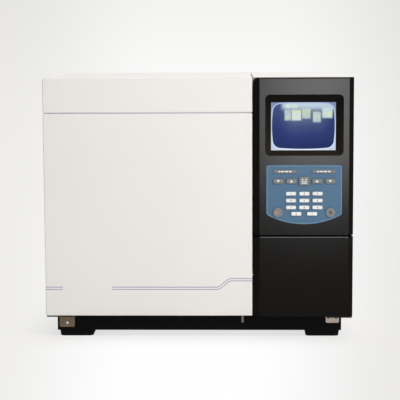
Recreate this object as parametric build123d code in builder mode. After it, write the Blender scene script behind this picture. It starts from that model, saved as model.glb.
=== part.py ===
from build123d import *
from math import cos, radians, sin
import os

# Bench-top gas chromatograph. A white oven bay with a left-hung door stands beside a black
# moulded console that carries the display, the keypad and, lower down, a right-hung door over
# the gas controls. A hinged cover closes the injector and detector deck above the oven.
# Millimetres. +Z is up, the front faces -Y, the origin is under the middle of the object at
# the height of the bench.

os.makedirs("parts", exist_ok=True)

# ---------------------------------------------------------------------------------------------
# Driving dimensions
# ---------------------------------------------------------------------------------------------

# Overall size
overall_width = 600.0
overall_depth = 530.0
overall_height = 510.0

# Vertical stack
foot_height = 13.0
base_height = 31.0
door_lift = 1.5  # both doors hang this far above the base frame
cover_height = 65.5
seam = 2.0  # visible joint between neighbouring panels

# Front planes
key_proud = 2.0  # key caps stand this far in front of the console face
door_setback = 8.0  # oven door skin behind the console face
door_stack = 32.0  # oven door skin to the oven front frame
console_depth = 34.0  # console face to the front edge of the side cover
rear_reach = 30.0  # gas fittings stand this far behind the rear panel

# Sheet and wall thicknesses
panel_sheet = 1.2
frame_sheet = 1.5
liner_sheet = 1.0
moulding_wall = 3.0
bracket_sheet = 2.0

# Clearances
key_clearance = 0.35
slide_clearance = 0.1
running_clearance = 0.06
part_gap = 0.3

# Console
electronics_width = 194.0
bevel_left = 12.0
bevel_left_depth = 8.0
bevel_right = 9.0
bevel_right_depth = 7.0
console_edge_radius = 2.5
console_corner_left = 8.0
console_corner_right = 7.0
fascia_sill = 21.0  # fascia below the keypad
gas_door_depth = 30.0
gas_door_gap = 3.5
gas_door_corner = 2.0
gas_door_edge_radius = 1.5
console_lower_corner = 1.0
cover_flange = 32.0  # inward flanges of the side panels

# Display
bezel_width = 150.5
bezel_height = 117.5
bezel_drop = 32.5  # from the top of the console
bezel_corner = 9.0
window_width = 124.5
window_height = 92.5
window_offset = (-1.5, -2.8)  # from the middle of the bezel
window_depth = 11.0
window_corner = 1.0
window_thickness = 2.0
window_margin = 3.0
module_depth = 9.0
module_rim = 5.0

# Keypad
keypad_width = 146.0
keypad_height = 115.0
keypad_drop = 168.0
keypad_arc_radius = 150.0
keypad_corner = 3.0
keypad_lower_corner = 7.0
keypad_recess = 1.2
overlay_thickness = 0.7
key_travel = 1.2
key_flange = 1.2
key_flange_margin = 1.5
key_edge = 0.7
number_key_size = (19.2, 6.8)
number_key_pitch = (25.6, 13.4)
number_key_drop = 55.3
lower_key_drop = 94.5
lower_key_offset = 15.2
arrow_key_size = (19.6, 9.6)
arrow_key_drop = 31.0
arrow_key_offsets = (24.7, 50.0)
menu_key_size = (20.0, 16.8)
round_key_radius = 9.5
round_key_offset = 50.7
round_key_drop = 91.9
key_corner = 1.2
legend_bar_size = (44.4, 7.4)
legend_bar_drop = 12.4
legend_bar_offset = 37.3
legend_bar_height = 1.8
board_thickness = 1.6
board_width = 142.0
board_height = 118.0
board_post_radius = 3.0

# Oven
cavity_width = 280.0
cavity_height = 285.0
cavity_depth = 190.0
back_insulation = 50.0
exhaust_width = 70.0
exhaust_height = 50.0
exhaust_offset = (-90.0, 95.0)
port_offsets = (-75.0, -30.0, 30.0, 75.0)  # two injectors, then two detectors
port_setback = 93.0  # behind the oven front plane
port_bore = 10.5

# Oven fan, heater and baffle
shaft_radius = 4.0
shaft_hole_radius = 8.0
fan_radius = 72.0
fan_hub_radius = 14.0
fan_blade_count = 8
fan_blade_depth = 22.0
fan_blade_sheet = 1.5
fan_wall_gap = 9.0
heater_ring_radius = 100.0
heater_rope_radius = 4.0
heater_ring_gap = 16.0
heater_post_size = 9.0
heater_post_count = 4
baffle_distance = 45.0
baffle_margin = 8.0
baffle_slot = (32.0, 6.0)
baffle_slot_radius = 34.0
baffle_slot_count = 12
baffle_post_radius = 4.0
baffle_post_inset = 16.0
motor_radius = 45.0
motor_length = 82.0
motor_standoff = 22.0
motor_post_radius = 4.0
motor_bore_depth = 26.0

# Column
column_tube_radius = 1.6
column_turns = 2.5
column_pitch = 5.0
column_drop = 150.0  # oven ceiling to the coil's axis
column_nut_flats = 12.0
column_nut_height = 10.0
port_stem_radius = 4.0
port_stem_length = 18.0

# Injectors and detectors on the deck
injector_block = (30.0, 34.0, 38.0)
injector_body_radius = 10.0
injector_neck_radius = 9.0
injector_neck_height = 12.0
block_chamfer = 1.5
septum_nut_radius = 13.0
septum_nut_height = 14.0
septum_nut_overlap = 9.0
needle_guide_radius = 1.5
septum_nut_chamfer = 3.0
detector_block = (34.0, 38.0, 24.0)
detector_tower_radius = 10.0
detector_tower_height = 26.0
detector_cap_radius = 13.0
detector_cap_height = 8.0
igniter_radius = 3.5
igniter_length = 16.0

# Oven door
door_tray_depth = 25.0
door_hinge_inset = (14.0, 12.0)
door_plug_reach = 22.0  # past the oven front plane, into the cavity
door_plug_clearance = 6.0
door_pin_radius = 4.0
door_pin_length = 17.0
gasket_width = 10.0
gasket_offset = 6.0
gasket_edge = 2.5
plug_corner = 5.0
door_edge_radius = 2.0
hinge_block_wall = 4.0
hinge_block_height = 20.0

# Door release rod
rod_radius = 3.0
rod_edge_distance = 19.0
rod_drop = 16.0  # below the door's lower edge
rod_rise = 32.0
rod_collar_radius = 5.0
rod_collar_height = 3.0
rod_travel = 5.0
rod_bush_radius = 6.0
rod_bush_height = 6.0
rod_chamfer = 1.0
nose_size = 8.0
nose_rise = 20.0
nose_gap = 2.0  # from the nose to the oven front
striker_reach = 9.0

# Hinge brackets on the base frame
oven_bracket_width = 30.0
oven_bracket_inset = 24.0
oven_bracket_drop = 24.5
gas_bracket_width = 26.0
gas_bracket_inset = 24.5
gas_bracket_drop = 16.0
gas_pin_radius = 3.0
gas_pin_length = 16.0
gas_hinge_inset = (14.0, 12.0)
bracket_corner = 3.0
bracket_overhang = 6.0
bracket_rear = 28.0
base_setback = 20.0  # base frame behind the oven door skin
base_inset = 20.0
base_rear_inset = 10.0
base_sheet = 2.0
base_lip = 72.0
foot_size = (68.0, 60.0)
foot_corner = 6.0
foot_taper = 8.0
foot_inset = (37.0, 36.0)

# Top cover
cover_hinge_inset = (8.0, 10.0)  # from the rear panel, and above the cover's lower edge
cover_pin_radius = 3.0
cover_ear_radius = 6.5
cover_ear_sheet = 3.0
cover_boss_radius = 7.0
cover_boss_length = 6.0
cover_rear_lift = 25.0
cover_corner_cut = 4.0
cover_edge_radius = 2.0
cover_bend_radius = 1.5

# Rear panel
flap_margin = 8.0
flap_sheet = 1.5
flap_barrel_radius = 3.0
flap_pin_radius = 1.5
flap_stand_off = 1.0
flap_ear_sheet = 2.0
slot_width = 4.0
slot_length = 60.0
slot_pitch = 12.0
slot_count = 8
fitting_count = 3
fitting_pitch = 40.0
fitting_height = 150.0
fitting_hex_flats = 14.0
fitting_hex_height = 10.0
fitting_stub_radius = 4.0
fitting_stub_length = 20.0
fitting_inner_length = 16.0
inlet_size = (30.0, 64.0)
inlet_depth = 24.0
inlet_flange = 3.0
inlet_flange_margin = 6.0
inlet_height = 92.0
inlet_side_distance = 62.0
socket_size = (24.0, 17.0)
socket_depth = 16.0
socket_drop = 18.0
blade_size = (2.0, 4.0)
blade_length = 9.0
blade_pitch = 7.0
rocker_well = (20.0, 26.0)
rocker_well_depth = 12.0
rocker_size = (19.0, 22.0)
rocker_rise = 16.0
rocker_axle_radius = 2.0
rocker_wall = 2.0
rocker_depth = 6.0
rocker_hollow = 2.0
rocker_tilt = 8.0

# Gas controls
gas_panel_setback = 3.0  # behind the side cover's front edge
gas_panel_sheet = 2.0
gas_column_pitch = 47.0
gas_column_start = 33.0  # console's left side to the first knob
gauge_radius = 20.0
gauge_depth = 14.0
gauge_rim = 2.5
gauge_dial_depth = 1.5
gauge_row = 0.72  # share of the gas bay's height
gauge_stem_radius = 5.0
gauge_stem_length = 14.0
knob_row = 0.32  # share of the gas bay's height
knob_radius = 12.0
knob_length = 16.0
knob_skirt_radius = 14.0
knob_skirt_length = 3.0
knob_grips = 6
knob_flute_radius = 2.4
knob_chamfer = 1.0
spindle_radius = 3.0
spindle_length = 20.0
valve_block = 26.0

# Electronics inside the console bay
main_board_size = (220.0, 200.0)
main_board_standoff = 12.0
main_board_drop = 180.0  # from the top of the console to the board's middle
chip_size = 24.0
chip_height = 8.0
chip_pitch = 60.0
transformer_core = (90.0, 62.0, 76.0)
transformer_coil = (56.0, 90.0, 48.0)
transformer_setback = 175.0  # from the rear of the body

# ---------------------------------------------------------------------------------------------
# Shared planes and places, worked out from the dimensions above
# ---------------------------------------------------------------------------------------------

left = -overall_width / 2
right = overall_width / 2
front = -overall_depth / 2
back = overall_depth / 2

base_bottom = foot_height
base_top = foot_height + base_height
door_bottom = base_top + door_lift
cover_bottom = overall_height - cover_height
deck_top = cover_bottom - seam
deck_bottom = deck_top - frame_sheet
door_top = deck_top - part_gap

face_y = front + key_proud
door_front = face_y + door_setback
oven_front = door_front + door_stack
console_back = face_y + console_depth
body_back = back - rear_reach
panel_back = body_back - frame_sheet  # inner face of the rear panel

bay_split = right - electronics_width
oven_right = bay_split - seam / 2
console_left = bay_split + seam / 2
face_left = console_left + bevel_left
face_right = right - bevel_right
face_centre = (face_left + face_right) / 2

cavity_x = (left + oven_right) / 2
cavity_z = (base_top + deck_top) / 2
ceiling = cavity_z + cavity_height / 2
cavity_back = oven_front + cavity_depth
liner_back = cavity_back + liner_sheet
jacket_y = liner_back + back_insulation
port_y = oven_front + port_setback
column_radius = max(port_offsets)

base_front = door_front + base_setback
base_back = body_back - base_rear_inset
base_half = overall_width / 2 - base_inset
base_mid_y = (base_front + base_back) / 2

door_pivot_x = left + door_hinge_inset[0]
door_pivot_y = door_front + door_hinge_inset[1]
gas_pivot_x = right - gas_hinge_inset[0]
gas_pivot_y = face_y + gas_hinge_inset[1]
door_back = door_front + door_tray_depth

bezel_z = overall_height - bezel_drop - bezel_height / 2
window_centre = (face_centre + window_offset[0], bezel_z + window_offset[1])
keypad_top = overall_height - keypad_drop
fascia_bottom = keypad_top - keypad_height - fascia_sill
gas_door_top = fascia_bottom - gas_door_gap
overlay_front = face_y + keypad_recess - overlay_thickness
wall_inner_y = face_y + moulding_wall

exhaust_x = cavity_x + exhaust_offset[0]
exhaust_z = cavity_z + exhaust_offset[1]

rod_x = oven_right - rod_edge_distance
nose_z = door_bottom + nose_rise
striker_top = nose_z - part_gap

gas_panel_y = console_back + gas_panel_setback
knob_z = door_bottom + knob_row * (gas_door_top - door_bottom)
gauge_z = door_bottom + gauge_row * (gas_door_top - door_bottom)
knob_xs = [console_left + gas_column_start + i * gas_column_pitch for i in range(3)]

# Keypad layout: name, outline, offset from the keypad's middle, drop below its top
number_keys = [
    (
        f"key_{3 * row + column + 1}",
        "number",
        (column - 1) * number_key_pitch[0],
        number_key_drop + row * number_key_pitch[1],
    )
    for row in range(3)
    for column in range(3)
]
lower_keys = [
    ("key_0", "number", -lower_key_offset, lower_key_drop),
    ("key_point", "number", lower_key_offset, lower_key_drop),
]
arrow_keys = [
    ("key_left_down", "arrow", -arrow_key_offsets[1], arrow_key_drop),
    ("key_left_up", "arrow", -arrow_key_offsets[0], arrow_key_drop),
    ("key_right_up", "arrow", arrow_key_offsets[0], arrow_key_drop),
    ("key_right_down", "arrow", arrow_key_offsets[1], arrow_key_drop),
]
other_keys = [
    ("key_menu", "menu", 0.0, arrow_key_drop),
    ("key_start", "round", -round_key_offset, round_key_drop),
    ("key_stop", "round", round_key_offset, round_key_drop),
]
keys = number_keys + lower_keys + arrow_keys + other_keys


def facing(y):
    """The plane at this depth that looks out of the front: local X is +X and local Y is +Z."""
    return Plane.XZ.offset(-y)


def box_between(low, high, mode=Mode.ADD):
    """A box given by two opposite corners."""
    size = [abs(h - l) for l, h in zip(low, high)]
    middle = Vector(*[(h + l) / 2 for l, h in zip(low, high)])
    with Locations(middle):
        Box(*size, mode=mode)


def rod_between(start, end, radius, mode=Mode.ADD):
    """A round rod from one point to another along a row axis."""
    step = Vector(*end) - Vector(*start)
    with BuildSketch(Plane(origin=start, z_dir=step.normalized())) as section:
        Circle(radius)
    extrude(section.sketch, amount=step.length, mode=mode)


def cut_rectangle(width, height, cut):
    """A rectangle with its corners cut off, in the sketch in progress."""
    across, up = width / 2, height / 2
    Polygon(
        (across, up - cut),
        (across - cut, up),
        (cut - across, up),
        (-across, up - cut),
        (-across, cut - up),
        (cut - across, -up),
        (across - cut, -up),
        (across, cut - up),
    )


def save(builder, name):
    """Labels a finished piece and writes it as one STEP file."""
    builder.part.label = name
    export_step(builder.part, f"parts/{name}.step")


# ---------------------------------------------------------------------------------------------
# Base frame, feet and hinge brackets
# ---------------------------------------------------------------------------------------------

# A pressed steel tray turned upside down, with wide lower lips that the feet bolt to.
with BuildPart() as base_frame:
    box_between((-base_half, base_front, base_bottom), (base_half, base_back, base_top))
    box_between(
        (-base_half + base_sheet, base_front + base_sheet, base_bottom + base_sheet),
        (base_half - base_sheet, base_back - base_sheet, base_top - base_sheet),
        mode=Mode.SUBTRACT,
    )
    box_between(
        (-base_half + base_lip, base_front + base_lip, base_bottom),
        (base_half - base_lip, base_back - base_lip, base_bottom + base_sheet),
        mode=Mode.SUBTRACT,
    )
    # cooling slots in the floor under the electronics bay
    with BuildSketch(Plane.XY.offset(base_top)):
        with Locations(((console_left + right) / 2, base_mid_y)):
            with GridLocations(0, slot_pitch, 1, slot_count):
                Rectangle(slot_length, slot_width)
    extrude(amount=-base_sheet, mode=Mode.SUBTRACT)
save(base_frame, "base_frame")

# Four oblong rubber feet with cut corners, slightly narrower at the bench.
with BuildPart() as feet:
    foot_span = (2 * (base_half - foot_inset[0]), base_back - base_front - 2 * foot_inset[1])
    with BuildSketch(Plane.XY.offset(foot_height)):
        with Locations((0, base_mid_y)):
            with GridLocations(*foot_span, 2, 2):
                cut_rectangle(*foot_size, foot_corner)
    extrude(amount=-foot_height, taper=foot_taper)
save(feet, "feet")

# Three brackets: a plate and pin over the oven door, and an angle and pin under each door.
with BuildPart() as hinge_brackets:
    # upper oven door bracket, bolted on the deck
    box_between(
        (left + panel_sheet + 2 * part_gap, door_pivot_y - 2 * door_pin_radius, deck_top),
        (door_pivot_x + 2 * oven_bracket_inset, oven_front + bracket_rear, deck_top + moulding_wall),
    )
    rod_between(
        (door_pivot_x, door_pivot_y, deck_top),
        (door_pivot_x, door_pivot_y, deck_top - door_pin_length),
        door_pin_radius,
    )
    # lower oven door bracket
    oven_angle_right = left + oven_bracket_inset + oven_bracket_width
    box_between(
        (left + 2 * part_gap, door_pivot_y - bracket_overhang, base_top - bracket_sheet),
        (oven_angle_right, base_front, base_top),
    )
    box_between(
        (left + oven_bracket_inset, base_front - bracket_sheet, base_top - oven_bracket_drop),
        (oven_angle_right, base_front, base_top),
    )
    rod_between(
        (door_pivot_x, door_pivot_y, base_top),
        (door_pivot_x, door_pivot_y, base_top + door_pin_length),
        door_pin_radius,
    )
    # lower gas door bracket
    gas_angle_left = right - gas_bracket_inset - gas_bracket_width
    box_between(
        (gas_angle_left, gas_pivot_y - bracket_overhang, base_top - bracket_sheet),
        (right - 2 * part_gap, base_front, base_top),
    )
    box_between(
        (gas_angle_left, base_front - bracket_sheet, base_top - gas_bracket_drop),
        (right - gas_bracket_inset, base_front, base_top),
    )
    rod_between(
        (gas_pivot_x, gas_pivot_y, base_top),
        (gas_pivot_x, gas_pivot_y, base_top + gas_pin_length),
        gas_pin_radius,
    )
    # rounded lower corners of the two visible angles
    angle_faces = hinge_brackets.edges().filter_by(Axis.Y)
    lower_corners = [
        edge
        for edge in angle_faces
        if edge.center().Z < base_top - bracket_sheet - part_gap
    ]
    fillet(lower_corners, radius=bracket_corner)
save(hinge_brackets, "hinge_brackets")

# ---------------------------------------------------------------------------------------------
# Outer panels
# ---------------------------------------------------------------------------------------------

# Left side panel: a sheet with inward flanges on all four edges and a field of cooling slots.
with BuildPart() as left_side_panel:
    panel_low = (left, oven_front + frame_sheet, base_top)
    panel_high = (left + cover_flange, panel_back, deck_bottom)
    box_between(panel_low, panel_high)
    box_between(
        (panel_low[0] + panel_sheet, panel_low[1] + panel_sheet, panel_low[2] + panel_sheet),
        (panel_high[0], panel_high[1] - panel_sheet, panel_high[2] - panel_sheet),
        mode=Mode.SUBTRACT,
    )
    slot_field_y = (jacket_y + panel_back) / 2
    with BuildSketch(Plane.YZ.offset(left)):
        with Locations((slot_field_y, cavity_z)):
            with GridLocations(0, slot_pitch, 1, slot_count):
                Rectangle(slot_length, slot_width)
    extrude(amount=panel_sheet, mode=Mode.SUBTRACT)
save(left_side_panel, "left_side_panel")

# Right cover: side sheet, top sheet and a short skirt beside the hinged cover, bent in one.
with BuildPart() as right_cover:
    with BuildSketch(Plane.XZ.offset(-console_back)):
        with BuildLine():
            Polyline(
                (console_left, deck_top),
                (console_left, overall_height),
                (right, overall_height),
                (right, base_top),
                (right - cover_flange, base_top),
                (right - cover_flange, base_top + panel_sheet),
                (right - panel_sheet, base_top + panel_sheet),
                (right - panel_sheet, overall_height - panel_sheet),
                (console_left + panel_sheet, overall_height - panel_sheet),
                (console_left + panel_sheet, deck_top),
                close=True,
            )
        make_face()
    extrude(amount=-(panel_back - console_back))
    fillet(
        right_cover.edges().filter_by(Axis.Y).group_by(Axis.Z)[-1],
        radius=cover_bend_radius,
    )
    with BuildSketch(Plane.YZ.offset(right)):
        with Locations((slot_field_y, cavity_z)):
            with GridLocations(0, slot_pitch, 1, slot_count):
                Rectangle(slot_length, slot_width)
    extrude(amount=-panel_sheet, mode=Mode.SUBTRACT)
save(right_cover, "right_cover")

# Rear panel: one sheet, taller behind the electronics bay, with the openings and the two ears
# that carry the pin of the exhaust flap.
flap_width = exhaust_width + 2 * flap_margin
flap_height = exhaust_height + 2 * flap_margin
flap_axis_z = exhaust_z + flap_height / 2 + flap_barrel_radius
flap_axis_y = body_back + flap_barrel_radius + flap_stand_off
inlet_x = right - inlet_side_distance
fitting_xs = [
    console_left + fitting_pitch / 2 + part_gap + i * fitting_pitch for i in range(fitting_count)
]
fitting_z = base_top + fitting_height
inlet_z = base_top + inlet_height

with BuildPart() as rear_panel:
    with BuildSketch(Plane.XZ.offset(-panel_back)):
        with BuildLine():
            Polyline(
                (left, base_top),
                (left, deck_bottom),
                (console_left, deck_bottom),
                (console_left, overall_height),
                (right, overall_height),
                (right, base_top),
                close=True,
            )
        make_face()
        with Locations((exhaust_x, exhaust_z)):
            Rectangle(
                exhaust_width + 2 * liner_sheet + part_gap,
                exhaust_height + 2 * liner_sheet + part_gap,
                mode=Mode.SUBTRACT,
            )
        with Locations((cavity_x, cavity_z)):
            with GridLocations(0, slot_pitch, 1, slot_count):
                Rectangle(slot_length, slot_width, mode=Mode.SUBTRACT)
        with Locations((face_centre, overall_height - keypad_drop / 2)):
            with GridLocations(0, slot_pitch, 1, slot_count):
                Rectangle(slot_length, slot_width, mode=Mode.SUBTRACT)
        with Locations(*[(x, fitting_z) for x in fitting_xs]):
            Circle(fitting_stub_radius + slide_clearance, mode=Mode.SUBTRACT)
        with Locations((inlet_x, inlet_z)):
            Rectangle(
                inlet_size[0] + part_gap, inlet_size[1] + part_gap, mode=Mode.SUBTRACT
            )
    extrude(amount=-frame_sheet)
    for side in (-1, 1):
        ear_x = exhaust_x + side * (flap_width / 2 + part_gap + flap_ear_sheet / 2)
        box_between(
            (
                ear_x - flap_ear_sheet / 2,
                body_back - part_gap,
                flap_axis_z - flap_barrel_radius,
            ),
            (
                ear_x + flap_ear_sheet / 2,
                flap_axis_y + flap_barrel_radius,
                flap_axis_z + flap_barrel_radius,
            ),
        )
    rod_between(
        (exhaust_x - flap_width / 2 - part_gap - flap_ear_sheet, flap_axis_y, flap_axis_z),
        (exhaust_x + flap_width / 2 + part_gap + flap_ear_sheet, flap_axis_y, flap_axis_z),
        flap_pin_radius,
    )
save(rear_panel, "rear_panel")

# Exhaust flap: a plate with a rolled upper edge that turns on the rear panel's pin.
with BuildPart() as vent_flap:
    flap_y = body_back + part_gap
    box_between(
        (exhaust_x - flap_width / 2, flap_y, exhaust_z - flap_height / 2),
        (exhaust_x + flap_width / 2, flap_y + flap_sheet, flap_axis_z),
    )
    rod_between(
        (exhaust_x - flap_width / 2, flap_axis_y, flap_axis_z),
        (exhaust_x + flap_width / 2, flap_axis_y, flap_axis_z),
        flap_barrel_radius,
    )
    rod_between(
        (exhaust_x - flap_width / 2, flap_axis_y, flap_axis_z),
        (exhaust_x + flap_width / 2, flap_axis_y, flap_axis_z),
        flap_pin_radius + running_clearance,
        mode=Mode.SUBTRACT,
    )
save(vent_flap, "vent_flap")

# ---------------------------------------------------------------------------------------------
# Oven
# ---------------------------------------------------------------------------------------------

# The detectors stand in front of the injectors by the length of the column's coil, so that both
# ends of the column rise straight into their ports.
coil_length = column_pitch * column_turns
injector_places = [(cavity_x + x, port_y) for x in port_offsets[:2]]
detector_places = [(cavity_x + x, port_y - coil_length) for x in port_offsets[2:]]
port_places = injector_places + detector_places

# Front frame: the white face around the oven mouth, and the striker block under the nose of
# the release rod.
with BuildPart() as oven_front_frame:
    with BuildSketch(facing(oven_front + frame_sheet)):
        with Locations(((left + oven_right) / 2, (base_top + deck_bottom) / 2)):
            Rectangle(oven_right - left, deck_bottom - base_top)
        with Locations((cavity_x, cavity_z)):
            Rectangle(cavity_width, cavity_height, mode=Mode.SUBTRACT)
    extrude(amount=frame_sheet)
    striker_back = oven_front - part_gap
    box_between(
        (rod_x - nose_size / 2, striker_back - striker_reach, striker_top - nose_size),
        (rod_x + nose_size / 2, striker_back, striker_top),
    )
save(oven_front_frame, "oven_front_frame")

cavity_low = Vector(cavity_x - cavity_width / 2, oven_front + frame_sheet, cavity_z - cavity_height / 2)
cavity_high = Vector(cavity_x + cavity_width / 2, cavity_back, ceiling)
liner_skin = Vector(liner_sheet, 0, liner_sheet)

# Liner: a welded stainless box, open in front, pierced for the fan shaft, the exhaust and the
# injector and detector stems.
with BuildPart() as oven_liner:
    box_between(
        cavity_low - liner_skin, cavity_high + liner_skin + Vector(0, liner_sheet, 0)
    )
    box_between(cavity_low, cavity_high, mode=Mode.SUBTRACT)
    with BuildSketch(facing(liner_back)):
        with Locations((cavity_x, cavity_z)):
            Circle(shaft_hole_radius)
        with Locations((exhaust_x, exhaust_z)):
            Rectangle(exhaust_width, exhaust_height)
    extrude(amount=liner_sheet, mode=Mode.SUBTRACT)
    with BuildSketch(Plane.XY.offset(ceiling)):
        with Locations(*port_places):
            Circle(port_bore)
    extrude(amount=liner_sheet, mode=Mode.SUBTRACT)
save(oven_liner, "oven_liner")

# Jacket: the partition to the electronics bay, the plate behind the oven that carries the fan
# motor, and the exhaust duct, three sheets that are riveted where they meet.
duct_wall = liner_sheet
with BuildPart() as oven_jacket:
    box_between(
        (oven_right - panel_sheet, oven_front + frame_sheet, base_top),
        (oven_right, panel_back, deck_bottom),
    )
    box_between(
        (left + panel_sheet + part_gap, jacket_y, base_top + panel_sheet + part_gap),
        (
            oven_right - panel_sheet - part_gap,
            jacket_y + frame_sheet,
            deck_bottom - panel_sheet - part_gap,
        ),
    )
    with BuildSketch(facing(jacket_y)):
        with Locations((cavity_x, cavity_z)):
            Circle(shaft_hole_radius)
        with Locations((exhaust_x, exhaust_z)):
            Rectangle(
                exhaust_width + 2 * duct_wall + part_gap,
                exhaust_height + 2 * duct_wall + part_gap,
            )
    extrude(amount=-frame_sheet, mode=Mode.SUBTRACT)
    box_between(
        (
            exhaust_x - exhaust_width / 2 - duct_wall,
            liner_back,
            exhaust_z - exhaust_height / 2 - duct_wall,
        ),
        (
            exhaust_x + exhaust_width / 2 + duct_wall,
            body_back,
            exhaust_z + exhaust_height / 2 + duct_wall,
        ),
    )
    box_between(
        (exhaust_x - exhaust_width / 2, liner_back, exhaust_z - exhaust_height / 2),
        (exhaust_x + exhaust_width / 2, body_back, exhaust_z + exhaust_height / 2),
        mode=Mode.SUBTRACT,
    )
save(oven_jacket, "oven_jacket")

# Insulation: a moulded fibre block that fills the space between liner and jacket.
with BuildPart() as oven_insulation:
    box_between(
        (
            left + panel_sheet + part_gap,
            oven_front + frame_sheet + panel_sheet + part_gap,
            base_top + panel_sheet + part_gap,
        ),
        (oven_right - panel_sheet, jacket_y, deck_bottom - panel_sheet - part_gap),
    )
    box_between(
        cavity_low - liner_skin,
        cavity_high + liner_skin + Vector(0, liner_sheet, 0),
        mode=Mode.SUBTRACT,
    )
    box_between(
        (
            exhaust_x - exhaust_width / 2 - duct_wall,
            liner_back,
            exhaust_z - exhaust_height / 2 - duct_wall,
        ),
        (
            exhaust_x + exhaust_width / 2 + duct_wall,
            jacket_y,
            exhaust_z + exhaust_height / 2 + duct_wall,
        ),
        mode=Mode.SUBTRACT,
    )
    rod_between(
        (cavity_x, liner_back, cavity_z),
        (cavity_x, jacket_y, cavity_z),
        shaft_hole_radius,
        mode=Mode.SUBTRACT,
    )
    with BuildSketch(Plane.XY.offset(ceiling)):
        with Locations(*port_places):
            Circle(port_bore)
    extrude(amount=deck_top - ceiling, mode=Mode.SUBTRACT)
save(oven_insulation, "oven_insulation")

# Baffle: a sheet in front of the fan with a ring of radial intake slots, on four posts.
baffle_y = cavity_back - baffle_distance
baffle_half = (cavity_width / 2 - baffle_margin, cavity_height / 2 - baffle_margin)
with BuildPart() as fan_baffle:
    with BuildSketch(facing(baffle_y)):
        with Locations((cavity_x, cavity_z)):
            Rectangle(2 * baffle_half[0], 2 * baffle_half[1])
            with PolarLocations(baffle_slot_radius, baffle_slot_count):
                Rectangle(*baffle_slot, mode=Mode.SUBTRACT)
    extrude(amount=panel_sheet)
    with BuildSketch(facing(cavity_back)):
        with Locations((cavity_x, cavity_z)):
            with GridLocations(
                2 * (baffle_half[0] - baffle_post_inset),
                2 * (baffle_half[1] - baffle_post_inset),
                2,
                2,
            ):
                Circle(baffle_post_radius)
    extrude(amount=cavity_back - baffle_y - part_gap)
save(fan_baffle, "fan_baffle")

# Fan: shaft, hub, back disc and straight blades. The shaft ends in the motor's bore.
motor_front = jacket_y + frame_sheet + motor_standoff
fan_disc_y = cavity_back - fan_wall_gap
with BuildPart() as oven_fan:
    rod_between(
        (cavity_x, fan_disc_y - fan_blade_depth, cavity_z),
        (cavity_x, motor_front + motor_bore_depth - part_gap, cavity_z),
        shaft_radius,
    )
    rod_between(
        (cavity_x, fan_disc_y - fan_blade_depth, cavity_z),
        (cavity_x, fan_disc_y, cavity_z),
        fan_hub_radius,
    )
    rod_between(
        (cavity_x, fan_disc_y - fan_blade_sheet, cavity_z),
        (cavity_x, fan_disc_y, cavity_z),
        fan_radius,
    )
    with BuildSketch(facing(fan_disc_y)):
        with Locations((cavity_x, cavity_z)):
            with PolarLocations((fan_radius + fan_hub_radius) / 2, fan_blade_count):
                Rectangle(fan_radius - fan_hub_radius + 2 * part_gap, fan_blade_sheet)
    extrude(amount=fan_blade_depth)
    # the blades' outer ends follow the disc's rim
    with BuildSketch(facing(cavity_back)):
        with Locations((cavity_x, cavity_z)):
            Circle(fan_radius)
    extrude(amount=baffle_distance, both=True, mode=Mode.INTERSECT)
    rod_between(
        (cavity_x, fan_disc_y - fan_blade_sheet, cavity_z),
        (cavity_x, motor_front + motor_bore_depth - part_gap, cavity_z),
        shaft_radius,
    )
save(oven_fan, "oven_fan")

# Heater: two rings of wound element on ceramic posts around the fan.
heater_ys = [fan_disc_y - i * heater_ring_gap for i in range(2)]
with BuildPart() as heater_coil:
    with BuildSketch(facing(cavity_back)):
        with Locations((cavity_x, cavity_z)):
            with PolarLocations(heater_ring_radius, heater_post_count, start_angle=45):
                Rectangle(heater_post_size, heater_post_size)
    extrude(amount=cavity_back - heater_ys[-1] + 2 * heater_rope_radius)
    for ring_y in heater_ys:
        with BuildSketch(Plane.XY.offset(cavity_z)):
            with Locations((cavity_x + heater_ring_radius, ring_y)):
                RegularPolygon(heater_rope_radius, 6)
        revolve(axis=Axis((cavity_x, ring_y, cavity_z), (0, 1, 0)))
save(heater_coil, "heater_coil")

# Fan motor: a round case with end bells on four posts behind the jacket.
with BuildPart() as fan_motor:
    rod_between(
        (cavity_x, motor_front, cavity_z),
        (cavity_x, motor_front + motor_length, cavity_z),
        motor_radius,
    )
    chamfer(fan_motor.edges().filter_by(GeomType.CIRCLE), length=5)
    rod_between(
        (cavity_x, motor_front - motor_post_radius, cavity_z),
        (cavity_x, motor_front, cavity_z),
        fan_hub_radius,
    )
    with BuildSketch(facing(motor_front + motor_length / 2)):
        with Locations((cavity_x, cavity_z)):
            with PolarLocations(motor_radius, 4, start_angle=45):
                Circle(motor_post_radius)
    extrude(amount=motor_length / 2 + motor_standoff)
    rod_between(
        (cavity_x, motor_front - motor_post_radius, cavity_z),
        (cavity_x, motor_front + motor_bore_depth, cavity_z),
        shaft_radius + running_clearance,
        mode=Mode.SUBTRACT,
    )
save(fan_motor, "fan_motor")

# Packed column: a steel tube wound into a coil, both ends rising to the ports, where hexagon
# nuts clamp them. The two ports that the column leaves free are closed by the same nuts.
nut_bottom = ceiling - port_stem_length - column_nut_height
coil_z = ceiling - column_drop
coil_start = (cavity_x - column_radius, port_y, coil_z)
coil_end = (cavity_x + column_radius, port_y - coil_length, coil_z)
winding = Plane(
    origin=(cavity_x, port_y, coil_z), x_dir=(-1, 0, 0), z_dir=(0, -1, 0)
) * Helix(column_pitch, coil_length, column_radius)
with BuildPart() as packed_column:
    with BuildSketch(Plane(origin=coil_start, z_dir=(0, 0, -1))):
        RegularPolygon(column_tube_radius, 8)
    sweep(path=winding, is_frenet=True)
    for x, y, z in (coil_start, coil_end):
        rod_between((x, y, z), (x, y, nut_bottom + column_nut_height), column_tube_radius)
    with BuildSketch(Plane.XY.offset(nut_bottom)):
        with Locations(*port_places):
            RegularPolygon(column_nut_flats / 2, 6, major_radius=False)
    extrude(amount=column_nut_height)
save(packed_column, "packed_column")

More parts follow.
